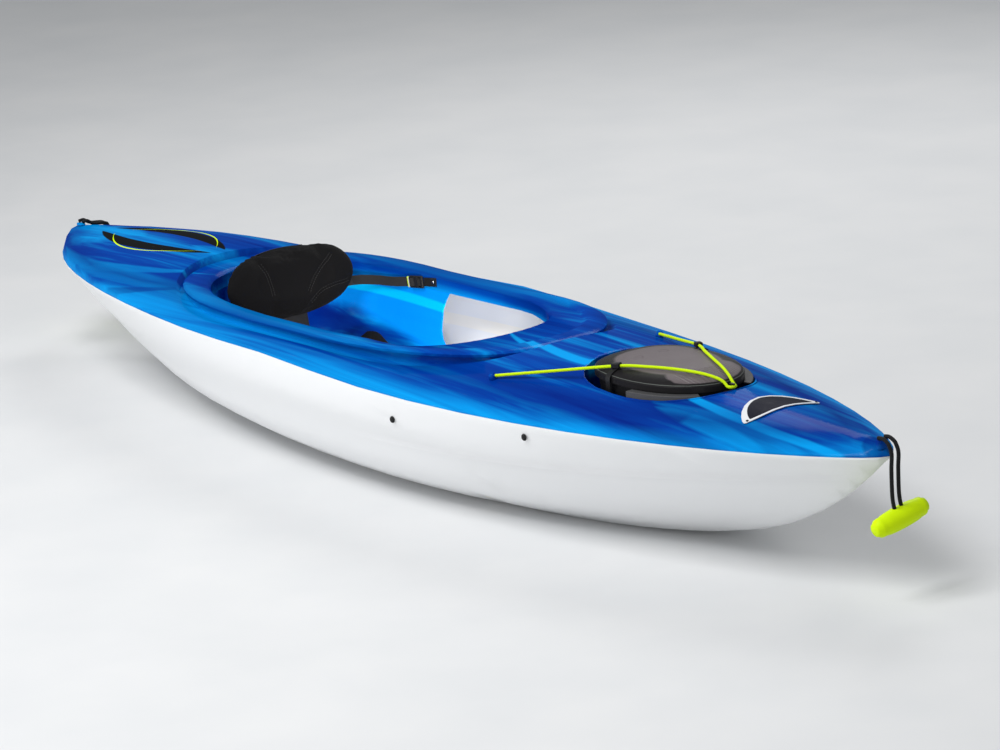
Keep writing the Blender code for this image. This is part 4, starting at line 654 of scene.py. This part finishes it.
def paint(kit):
    """Every material of the kayak, by name."""
    moulded = moulded_group()
    braid = braid_group()
    sheen = {"Sheen Weight": 0.015, "Sheen Roughness": 0.5}

    def glossy(weight):
        return {"Coat Weight": weight, "Coat Roughness": 0.14, "Coat IOR": 1.8}

    def plastic(name, colour, grain, rough, bump, specular=0.5, mottle=0.12, scuffs=0.05, more=None):
        values = {"Colour": colour, "Grain scale": grain, "Base roughness": rough}
        values.update({"Mottle": mottle, "Scuffs": scuffs})
        return shader(name, moulded, values, bump, 0.6, specular, more)

    def braided(name, colour, fleck, strength, specular):
        return shader(name, braid, {"Colour": colour, "Fleck": fleck}, 0.0006, strength, specular)

    weave = weave_group(kit.weave_pitch)
    webbed = {"Colour": (0.022, 0.022, 0.023)}
    return {
        "hull": shader("hull_plastic", hull_group(), {"Colour": kit.hull_white}, 0.0003, 0.6, 0.2),
        # Inside of the hull: a warmer, paler copy of the hull's white, painted light that stands in for
        # light through the wall
        "hull_inside_lit": plastic("hull_inside_lit", (0.86, 0.835, 0.775), 260, 0.4, 0.0003, 0.1, 0.02, 0.0),
        "deck": shader("deck_plastic", deck_group(kit), {}, 0.0007, 0.35, 0.0, glossy(0.055)),
        "liner": shader("liner_plastic", liner_group(kit), {}, 0.0007, 0.35, 0.0, glossy(0.05)),
        "black": plastic("moulded_black", (0.012, 0.012, 0.013), 1100, 0.38, 0.0004, 0.12),
        "grip": plastic("grip_grey", (0.072, 0.072, 0.074), 1100, 0.36, 0.0004, 0.2),
        "lid": shader("lid_grey", lid_group(kit), {}, 0.0005, 0.6, 0.05),
        "rubber": plastic("seal_rubber", (0.01, 0.01, 0.01), 600, 0.62, 0.0003),
        "neon": plastic("neon_plastic", kit.neon, 700, 0.34, 0.0003, 0.05),
        "fabric": shader("seat_fabric", weave, {"Colour": kit.fabric_black}, 0.0006, 0.7, 0.04, sheen),
        "webbing": shader("webbing", webbing_group(), webbed, 0.0005, 0.8, 0.05, sheen),
        "cord_neon": braided("cord_neon", kit.neon, (0.36, 0.55, 0.02), 0.7, 0.04),
        "cord_black": braided("cord_black", (0.007, 0.007, 0.008), (0.022, 0.022, 0.023), 0.8, 0.1),
        "steel": plastic("steel", (0.55, 0.56, 0.57), 500, 0.22, 0.0002, more={"Metallic": 1.0}),
        "foam": shader("foam", cell_group(), {"Colour": (0.62, 0.63, 0.65)}, 0.001, 0.6),
        "badge": shader("badge", badge_group(), {}, 0.0002, 0.6, 0.01),
        # Pale plastic for the painted highlight on the buckle's bars
        "bar_highlight": plastic("buckle_bar_highlight", (0.34, 0.33, 0.32), 900, 0.35, 0.0002, 0.3),
        "thread": plastic("thread", (0.05, 0.05, 0.052), 1500, 0.6, 0.0002),
        "tack": plastic("tack_thread", kit.neon, 1500, 0.5, 0.0002),
    }


_paint = {}


def colours():
    if not _paint:
        _paint.update(paint(bpy.context.scene.kayak))
    return _paint


# Shapes


def new_object(name, data):
    made = bpy.data.objects.new(name, data)
    bpy.context.scene.collection.objects.link(made)
    return made


def welded(node):
    """A bmesh of a solid with its loose triangles joined up."""
    bm = bmesh.new()
    bm.from_mesh(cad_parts[node].data)
    bmesh.ops.remove_doubles(bm, verts=bm.verts, dist=3e-6)
    bmesh.ops.dissolve_degenerate(bm, edges=bm.edges, dist=1e-7)
    bmesh.ops.recalc_face_normals(bm, faces=bm.faces)
    return bm


def quads(bm, flat=14, shape=60):
    """Joins pairs of triangles where they lie nearly in one plane; both limits are in degrees."""
    limits = {"angle_face_threshold": math.radians(flat), "angle_shape_threshold": math.radians(shape)}
    bmesh.ops.join_triangles(bm, faces=bm.faces, **limits)
    return bm


def new_mesh(name, bm):
    mesh = bpy.data.meshes.new(name)
    bm.to_mesh(mesh)
    bm.free()
    return mesh


def evaluated(made):
    """The mesh as the modifiers or the curve's settings make it."""
    bpy.context.view_layer.update()
    graph = bpy.context.evaluated_depsgraph_get()
    return bpy.data.meshes.new_from_object(made.evaluated_get(graph))


def finish_mesh(mesh, look, sharp):
    """Material and smooth shading; edges that turn by more than the angle stay sharp."""
    mesh.materials.append(colours()[look])
    mesh.shade_smooth()
    mesh.set_sharp_from_angle(angle=math.radians(sharp))
    return mesh


def place(name, bm, look, body, slot, node=None, sharp=38):
    """Makes the object and hands it to its body; the node is the solid that it replaces."""
    made = new_object(name, finish_mesh(new_mesh(name, bm), look, sharp))
    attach(made, body)
    if node:
        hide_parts(node)
    return made


def soften(made, width, limit=35):
    """Rounds the edges that turn by more than the limit, in degrees."""
    bevel = made.modifiers.new("rounding", "BEVEL")
    bevel.width = width
    bevel.segments = 2
    bevel.limit_method = "ANGLE"
    bevel.angle_limit = math.radians(limit)


def dress(node, look="black", width=0.0006, sharp=38, name=None, slot=None):
    """A welded copy of a rigid solid with rounded edges and its own finish."""
    owners = [owner for word, owner in NODE_BODIES.items() if node.startswith(word)]
    body = owners[0] if owners else "kayak"
    slot = slot or LOOK_SLOTS.get(look, look)
    made = place(name or node + "_skin", quads(welded(node)), look, body, slot, node, sharp)
    soften(made, width)
    return made


def bake(made):
    """Puts what the modifiers make into the mesh."""
    mesh = evaluated(made)
    made.modifiers.clear()
    old = made.data
    made.data = mesh
    bpy.data.meshes.remove(old)


def line_length(points):
    return sum((Vector(b) - Vector(a)).length for a, b in zip(points, points[1:]))


def smooth_line(points, step):
    """Points of one smooth line through the given ones, about a step apart."""
    given = [Vector(p) for p in points]
    ends = [given[0] * 2 - given[1], *given, given[-1] * 2 - given[-2]]
    made = []
    for i in range(len(given) - 1):
        p0, p1, p2, p3 = ends[i : i + 4]
        count = max(2, math.ceil((p2 - p1).length / step))
        for k in range(count):
            t = k / count
            made.append(
                p1
                + (p2 - p0) * (t / 2)
                + (p0 * 2 - p1 * 5 + p2 * 4 - p3) * (t * t / 2)
                + (p1 * 3 - p0 - p2 * 3 + p3) * (t * t * t / 2)
            )
    return made + [given[-1]]


def swept_cord(name, points, diameter, look):
    """A closed tube along a line, with a map in metres along it and once round it."""
    curve = bpy.data.curves.new(name, "CURVE")
    curve.dimensions = "3D"
    curve.bevel_depth = diameter / 2
    curve.bevel_resolution = 3
    curve.use_fill_caps = True
    spline = curve.splines.new("POLY")
    spline.points.add(len(points) - 1)
    for spot, point in zip(spline.points, points):
        spot.co = (*point, 1)
    guide = new_object(name + "_guide", curve)
    mesh = evaluated(guide)
    bpy.data.objects.remove(guide)
    mesh.name = name
    mesh.uv_layers[0].name = "UVMap"
    run = line_length(points)
    for spot in mesh.uv_layers[0].uv:
        spot.vector = (spot.vector.x * run, spot.vector.y)
    mesh.materials.clear()
    return new_object(name, finish_mesh(mesh, look, 50))


def spun(profile, placed, steps):
    """A body turned about Z from its profile of radius and height, then put in place."""
    bm = bmesh.new()
    verts = [bm.verts.new((radius, 0, height)) for radius, height in profile]
    edges = [bm.edges.new(pair) for pair in zip(verts, verts[1:])]
    turn = {"cent": (0, 0, 0), "axis": (0, 0, 1), "angle": 2 * math.pi, "steps": steps, "use_merge": True}
    bmesh.ops.spin(bm, geom=verts + edges, **turn)
    bmesh.ops.remove_doubles(bm, verts=bm.verts, dist=1e-5)
    bmesh.ops.recalc_face_normals(bm, faces=bm.faces)
    bmesh.ops.transform(bm, matrix=placed, verts=bm.verts)
    return bm


# The stage


def set_stage():
    backdrop = bpy.data.materials.new("pale_floor")
    backdrop.use_nodes = True
    tree = backdrop.node_tree
    shade = tree.nodes["Principled BSDF"]
    dust = noise(tree, stretched(tree, (1, 1, 1)), 3.0, 3.0, 0.5)
    give(tree, shade.inputs["Base Color"], ramp(dust, list(zip((0.3, 0.7), FLOOR_TONES))))
    shade.inputs["Roughness"].default_value = 0.7
    bm = bmesh.new()
    bmesh.ops.create_grid(bm, x_segments=4, y_segments=4, size=FLOOR_REACH)
    floor = new_object("studio_floor", new_mesh("studio_floor", bm))
    floor.data.materials.append(backdrop)
    world = bpy.data.worlds.new("studio")
    world.use_nodes = True
    sky = world.node_tree.nodes["Background"]
    sky.inputs["Color"].default_value = SKY_COLOUR
    sky.inputs["Strength"].default_value = SKY_STRENGTH
    bpy.context.scene.world = world
    for name, spot, target, size, power in LAMPS:
        light = bpy.data.lights.new(name, "AREA")
        light.energy = power
        light.size = size
        if name == "leg_room":
            light.spread = LEG_ROOM_SPREAD
            light.color = LEG_ROOM_COLOUR
        lamp = new_object(name, light)
        lamp.location = spot
        lamp.rotation_euler = (Vector(target) - Vector(spot)).to_track_quat("-Z", "Y").to_euler()
    bpy.context.scene.view_settings.view_transform = "Standard"
    set_camera()


def set_camera():
    camera = bpy.data.cameras.new("picture_view")
    camera.sensor_width = SENSOR
    camera.lens = CAMERA_LENS
    camera.clip_end = 100
    made = new_object("picture_view", camera)
    made.location = CAMERA_PLACE
    made.rotation_euler = CAMERA_TURN
    bpy.context.scene.camera = made


# Cords


def make_cords():
    bow = smooth_line(BOW_CORD, HANDLE_STEP)
    near = [(STERN_CORD_X - STERN_CORD_SPREAD, y, z) for y, z in STERN_CORD_HALF]
    turn = [(STERN_CORD_X + x, STERN_CORD_HALF[-1][0], z) for x, z in STERN_CORD_TURN]
    far = [(2 * STERN_CORD_X - x, y, z) for x, y, z in reversed(near)]
    stern = smooth_line(near + turn + far, HANDLE_STEP)
    for end, route in (("bow", bow), ("stern", stern)):
        cord = swept_cord(f"{end}_carry_cord", route, HANDLE_DIAMETER, "cord_black")
        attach(cord, f"{end}_handle")
        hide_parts(f"{end}_handle_cord")
    whole = [*BUNGEE_HALF, BUNGEE_TURN, *((x, -y, z) for x, y, z in reversed(BUNGEE_HALF))]
    bungee = swept_cord("bungee", smooth_line(whole, BUNGEE_STEP), BUNGEE_DIAMETER, "cord_neon")
    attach(bungee, "kayak")
    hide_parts("bungee_cord")


def make_toggles():
    half = TOGGLE_LENGTH / 2
    profile = [(radius, depth - half) for radius, depth in TOGGLE_END]
    for i in range(TOGGLE_STEPS + 1):
        height = TOGGLE_NECK_DEPTH - half + (TOGGLE_LENGTH - 2 * TOGGLE_NECK_DEPTH) * i / TOGGLE_STEPS
        swell = 1 - (height / (half + TOGGLE_CLOSE)) ** 2
        ring = TOGGLE_RING_DEPTH if i in TOGGLE_RINGS else 0.0
        profile.append((TOGGLE_NECK + (TOGGLE_RADIUS - TOGGLE_NECK) * swell**0.8 - ring, height))
    profile += [(radius, half - depth) for radius, depth in reversed(TOGGLE_END)]
    across = Matrix.Rotation(math.pi / 2, 4, "X")
    spots = (
        ("bow", BOW_TOGGLE, Matrix.Rotation(BOW_TOGGLE_TILT, 4, "X") @ across),
        ("stern", STERN_TOGGLE, Matrix.Rotation(math.pi / 2, 4, "Y")),
    )
    for end, spot, turn in spots:
        bm = spun(profile, Matrix.Translation(spot) @ turn, 40)
        place(f"{end}_grip", bm, "neon", f"{end}_handle", "neon_plastic", f"{end}_toggle", 60)


# Skins


def make_hull():
    """The hull's skin; faces that look into the boat get a warmer, paler white, painted light that stands
    in for light through the wall.
    """
    bm = quads(welded("hull"), *SKIN_QUADS)
    tree = BVHTree.FromBMesh(bm)
    for face in bm.faces:
        spot = face.calc_center_median()
        if face.normal.z >= FLOOR_TILT:
            inward = spot.z < FLOOR_TOP and tree.ray_cast(spot - UP * RAY_START, -UP)[0] is not None
        else:
            hit = tree.ray_cast(spot + face.normal * RAY_START, face.normal)
            far = hit[0] is not None and hit[3] > WALL_APART
            inward = far and spot.z > KEEL_TOP and face.normal.z > UNDERSIDE_TILT
        if inward:
            face.material_index = 1
    hull = place("hull_skin", bm, "hull", "kayak", "hull_plastic", "hull", 40)
    hull.data.materials.append(colours()["hull_inside_lit"])
    soften(hull, 0.001, 50)


def make_deck():
    for node, look, sharp in (("deck", "deck", 55), ("seat_liner", "liner", 40)):
        bm = quads(welded(node), *SKIN_QUADS)
        soften(place(look + "_skin", bm, look, "kayak", "deck_plastic", node, sharp), 0.0012, 50)


# Padding


def swollen(node, name, body, shrink):
    """A pad's cover: a remeshed copy of the solid that the cloth solver blows up."""
    bm = welded(node)
    for vert in bm.verts:
        vert.co = vert.co - vert.normal * shrink
    pad = place(name, bm, "fabric", body, "seat_fabric", node, 180)
    remesh = pad.modifiers.new("remesh", "REMESH")
    remesh.mode = "VOXEL"
    remesh.voxel_size = CLOTH_VOXEL
    rounder = pad.modifiers.new("rounder", "SMOOTH")
    rounder.factor = 0.5
    rounder.iterations = 8
    bake(pad)
    start = [vert.co.copy() for vert in pad.data.vertices]
    blow_up(pad)
    most = bpy.context.scene.kayak.pad_swell
    for vert, rest in zip(pad.data.vertices, start):
        moved = vert.co - rest
        if moved.length > most:
            vert.co = rest + moved.normalized() * most
    return pad


def blow_up(pad):
    scene = bpy.context.scene
    cloth = pad.modifiers.new("cloth", "CLOTH")
    for key, value in CLOTH.items():
        setattr(cloth.settings, key, value)
    cloth.settings.effector_weights.gravity = 0.0
    cloth.point_cache.frame_start = 1
    cloth.point_cache.frame_end = CLOTH_FRAMES
    for step in range(1, CLOTH_FRAMES + 1):
        scene.frame_set(step)
    bake(pad)
    scene.frame_set(1)


def sink(pad, seams, width, spot_of):
    """Presses sewn seams into a pad, then smooths and refines it."""
    depth = bpy.context.scene.kayak.seam_depth
    lines = [smooth_line([(a, b, 0) for a, b in seam], SEAM_STEP) for seam in seams]
    normals = [v.normal.copy() for v in pad.data.vertices]
    for vert, normal in zip(pad.data.vertices, normals):
        across, up, facing = spot_of(vert.co, normal)
        if facing < SEAM_FACING:
            continue
        nearest = min((Vector((across, up, 0)) - p).length for line in lines for p in line)
        if nearest < width * 3:
            vert.co -= normal * depth * math.exp(-((nearest / width) ** 2))
    for polygon in pad.data.polygons:
        polygon.use_smooth = True
    finer = pad.modifiers.new("finer", "SUBSURF")
    finer.levels = 1
    finer.render_levels = 1


def stitch(pad, name, body, seams, point_of, direction):
    """Rows of raised stitches on both sides of each seam, laid on the pad."""
    tree = BVHTree.FromObject(pad, bpy.context.evaluated_depsgraph_get())
    bm = bmesh.new()
    for seam in seams:
        line = smooth_line([(a, b, 0) for a, b in seam], STITCH_PITCH)
        for before, after in zip(line, line[1:]):
            run = (after - before).normalized()
            side = Vector((-run.y, run.x, 0))
            for share in (-1, 1):
                middle = (before + after) / 2 + side * STITCH_GAP * share
                hits = [tree.ray_cast(point_of(p), direction) for p in (middle, middle + run * 0.001)]
                if hits[0][0] is None or hits[1][0] is None:
                    continue
                spot, normal = hits[0][0], hits[0][1]
                along = (hits[1][0] - spot).normalized()
                across = normal.cross(along).normalized()
                turned = Matrix((along, across, along.cross(across))).transposed().to_4x4()
                lifted = Matrix.Translation(spot + normal * STITCH_LIFT)
                placed = lifted @ turned @ Matrix.Diagonal((*STITCH_SIZE, 1))
                bmesh.ops.create_icosphere(bm, subdivisions=1, radius=1.0, matrix=placed)
    place(name, bm, "thread", body, "seat_fabric", sharp=180)


def make_pads():
    lean = Matrix.Rotation(-BACK_LEAN, 3, "Y")
    upright = Matrix.Rotation(BACK_LEAN, 3, "Y")

    def on_back(point, normal):
        local = upright @ (point - BACK_PIVOT)
        return local.y, local.z - BACK_CENTRE_UP, (upright @ normal).x

    def off_back(spot):
        ahead = lean @ Vector((BACK_AHEAD, 0, spot.y + BACK_CENTRE_UP))
        return BACK_PIVOT + ahead + Vector((0, spot.x, 0))

    def on_seat(point, normal):
        return point.y, point.x - SEAT_PAD_CENTRE_X, normal.z

    def off_seat(spot):
        return Vector((spot.y + SEAT_PAD_CENTRE_X, spot.x, SEAT_ABOVE))

    back = swollen("backrest_pad", "back_cushion", "backrest", BACK_SHRINK)
    sink(back, BACK_SEAMS, BACK_SEAM_WIDTH, on_back)
    stitch(back, "back_stitches", "backrest", BACK_SEAMS, off_back, lean @ Vector((-1, 0, 0)))
    seat = swollen("seat_pad", "seat_cushion", "kayak", SEAT_SHRINK)
    sink(seat, SEAT_SEAMS, SEAT_SEAM_WIDTH, on_seat)
    stitch(seat, "seat_stitches", "kayak", SEAT_SEAMS, off_seat, -UP)


# Webbing


def make_straps():
    for word, side in SIDES:
        node = f"backrest_strap_{word}"
        strap = place(f"side_strap_{word}", quads(welded(node)), "webbing", "backrest", "webbing", node, 40)
        soften(strap, 0.0004)
        bake(strap)
        strap.parent = None
        strap.matrix_world = Matrix.Identity(4)
        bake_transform(strap)
    for word, side in SIDES:
        make_tacks(word, side)


def blocks(name, spots, turned, size, look, slot, width, cuts=0):
    """Small blocks of one size, all turned the same way, as one piece that rides on the kayak."""
    bm = bmesh.new()
    for spot in spots:
        placed = Matrix.Translation(spot) @ turned @ Matrix.Diagonal((*size, 1))
        bmesh.ops.create_cube(bm, size=1.0, matrix=placed)
    if cuts:
        bmesh.ops.subdivide_edges(bm, edges=bm.edges, cuts=cuts, use_grid_fill=True)
    soften(place(name, bm, look, "kayak", slot, sharp=40), width)


def make_tacks(word, side):
    """A neon tack stitched across a strap behind its buckle, pale blocks of painted highlight on the
    buckle's bars, and the strap's tail.
    """
    low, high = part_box(f"strap_buckle_{word}")
    centre = (low + high) / 2
    length = high.x - low.x
    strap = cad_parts[f"backrest_strap_{word}"].data
    places = {tuple(round(c, 5) for c in v.co) for v in strap.vertices}
    front = max(spot[0] for spot in places)
    ends = []
    for reach in STRAP_END_REACHES:
        near = [Vector(spot) for spot in places if abs(spot[0] - front) < reach]
        ends.append(sum(near, Vector()) / len(near))
    run = (ends[1] - ends[0]).normalized()
    out = Vector((-run.y, run.x, 0)).normalized()
    turned = Matrix((run, out, run.cross(out))).transposed().to_4x4()
    tack = ends[1] - run * TACK_BACK
    # Pale blocks on the buckle's bars: painted highlight
    highlight_bars = [centre + run * share * length - Vector((0, side * HIGHLIGHT_BAR_OUT, 0)) for share in HIGHLIGHT_BAR_SHARES]
    tail = (length * TAIL_SHARE, *TAIL_SIZE)
    blocks(f"strap_tack_{word}", [tack], turned, TACK_SIZE, "tack", "cord_neon", 0.0005)
    blocks(f"buckle_highlight_bars_{word}", highlight_bars, turned, HIGHLIGHT_BAR_SIZE, "bar_highlight", "moulded_black", 0.0006)
    blocks(f"strap_tail_{word}", [centre], turned, tail, "webbing", "webbing", 0.0004, 2)


# Pod


def make_pod():
    dress("pod_tub", width=0.0008)
    dress("pod_lid", "lid", 0.0012, name="pod_cover")
    dress("pod_gasket", "rubber", 0.0003)
    # The two grips are one plastic: painted shade makes the port grip black and painted light makes the
    # starboard grip grey
    for word, look in (("port", "black"), ("starboard", "grip")):
        dress(f"pod_grip_{word}", look, 0.001)
        dress(f"pod_clip_{word}")
        dress(f"bungee_eye_{word}", "deck")


# Fittings


def make_fittings():
    dress("backrest_shell", width=0.0008)
    dress("backrest_bracket", width=0.0008)
    for word, _ in SIDES:
        dress(f"strap_anchor_{word}", width=0.0004)
        dress(f"strap_rivet_{word}", "steel", 0.0004)
        dress(f"strap_buckle_{word}", width=0.0005)
        dress(f"footrest_rail_{word}")
        dress(f"footrest_pedal_{word}", width=0.001)
        dress(f"footrest_lever_{word}", "grip")
        for end in ("aft", "fore"):
            dress(f"rail_screw_{word}_{end}", width=0.0004)
    for end in ("bow", "stern"):
        dress(f"{end}_handle_eye", "deck", 0.0008, slot="moulded_black")
    dress("drain_plug")
    dress("drain_seal", "rubber", 0.0002)
    for node in ("foam_block_bow", "foam_block_stern", "foam_seat_pillar"):
        dress(node, "foam", 0.003)


def make_badge():
    """A pale riveted plate with a plain dark lens."""
    plate = dress("badge_plate", "badge", sharp=30, name="badge")
    plate.modifiers.clear()
    for word, _ in SIDES:
        dress(f"badge_rivet_{word}", width=0.0003, slot="steel")


# Buttons


class KAYAK_OT_stage(bpy.types.Operator):
    """Makes the floor, the lamps and the camera"""

    bl_idname = "kayak.stage"
    bl_label = "Set the stage"

    def execute(self, context):
        set_stage()
        return {"FINISHED"}


class KAYAK_OT_cords(bpy.types.Operator):
    """Makes the bungee and the carry cords"""

    bl_idname = "kayak.cords"
    bl_label = "Make the cords"

    def execute(self, context):
        make_cords()
        return {"FINISHED"}


class KAYAK_OT_toggles(bpy.types.Operator):
    """Makes the carry handles' ribbed toggles"""

    bl_idname = "kayak.toggles"
    bl_label = "Make the toggles"

    def execute(self, context):
        make_toggles()
        return {"FINISHED"}


class KAYAK_OT_hull(bpy.types.Operator):
    """Makes the white hull skin"""

    bl_idname = "kayak.hull"
    bl_label = "Make the hull"

    def execute(self, context):
        make_hull()
        return {"FINISHED"}


class KAYAK_OT_deck(bpy.types.Operator):
    """Makes the streaked deck and seat liner"""

    bl_idname = "kayak.deck"
    bl_label = "Make the deck"

    def execute(self, context):
        make_deck()
        return {"FINISHED"}


class KAYAK_OT_pads(bpy.types.Operator):
    """Makes the seat and backrest cushions"""

    bl_idname = "kayak.pads"
    bl_label = "Make the pads"

    def execute(self, context):
        make_pads()
        return {"FINISHED"}


class KAYAK_OT_straps(bpy.types.Operator):
    """Makes the backrest's side straps"""

    bl_idname = "kayak.straps"
    bl_label = "Make the straps"

    def execute(self, context):
        make_straps()
        return {"FINISHED"}


class KAYAK_OT_pod(bpy.types.Operator):
    """Makes the storage pod and its clips"""

    bl_idname = "kayak.pod"
    bl_label = "Make the pod"

    def execute(self, context):
        make_pod()
        return {"FINISHED"}


class KAYAK_OT_fittings(bpy.types.Operator):
    """Makes screws, rails, eyes and foam"""

    bl_idname = "kayak.fittings"
    bl_label = "Make the fittings"

    def execute(self, context):
        make_fittings()
        return {"FINISHED"}


class KAYAK_OT_badge(bpy.types.Operator):
    """Makes the bow badge"""

    bl_idname = "kayak.badge"
    bl_label = "Make the badge"

    def execute(self, context):
        make_badge()
        return {"FINISHED"}


PIECES = (KAYAK_OT_stage, KAYAK_OT_cords, KAYAK_OT_toggles, KAYAK_OT_hull, KAYAK_OT_deck)
PIECES += (KAYAK_OT_pads, KAYAK_OT_straps, KAYAK_OT_pod, KAYAK_OT_fittings, KAYAK_OT_badge)


class KAYAK_PT_panel(bpy.types.Panel):
    """Sizes, colours and pieces of the kayak"""

    bl_label = "Kayak"
    bl_space_type = "VIEW_3D"
    bl_region_type = "UI"
    bl_category = "Kayak"

    def draw(self, context):
        for name in KayakSettings.__annotations__:
            self.layout.prop(context.scene.kayak, name)
        for piece in PIECES:
            self.layout.operator(piece.bl_idname)


CLASSES = (KayakSettings, *PIECES, KAYAK_PT_panel)


def register():
    for item in CLASSES:
        bpy.utils.register_class(item)
    bpy.types.Scene.kayak = PointerProperty(type=KayakSettings)


def unregister():
    del bpy.types.Scene.kayak
    for item in reversed(CLASSES):
        bpy.utils.unregister_class(item)


def main():
    register()
    bpy.ops.kayak.stage()
    bpy.ops.kayak.cords()
    bpy.ops.kayak.toggles()
    bpy.ops.kayak.hull()
    bpy.ops.kayak.deck()
    bpy.ops.kayak.pads()
    bpy.ops.kayak.straps()
    bpy.ops.kayak.pod()
    bpy.ops.kayak.fittings()
    bpy.ops.kayak.badge()


if __name__ == "__main__":
    main()
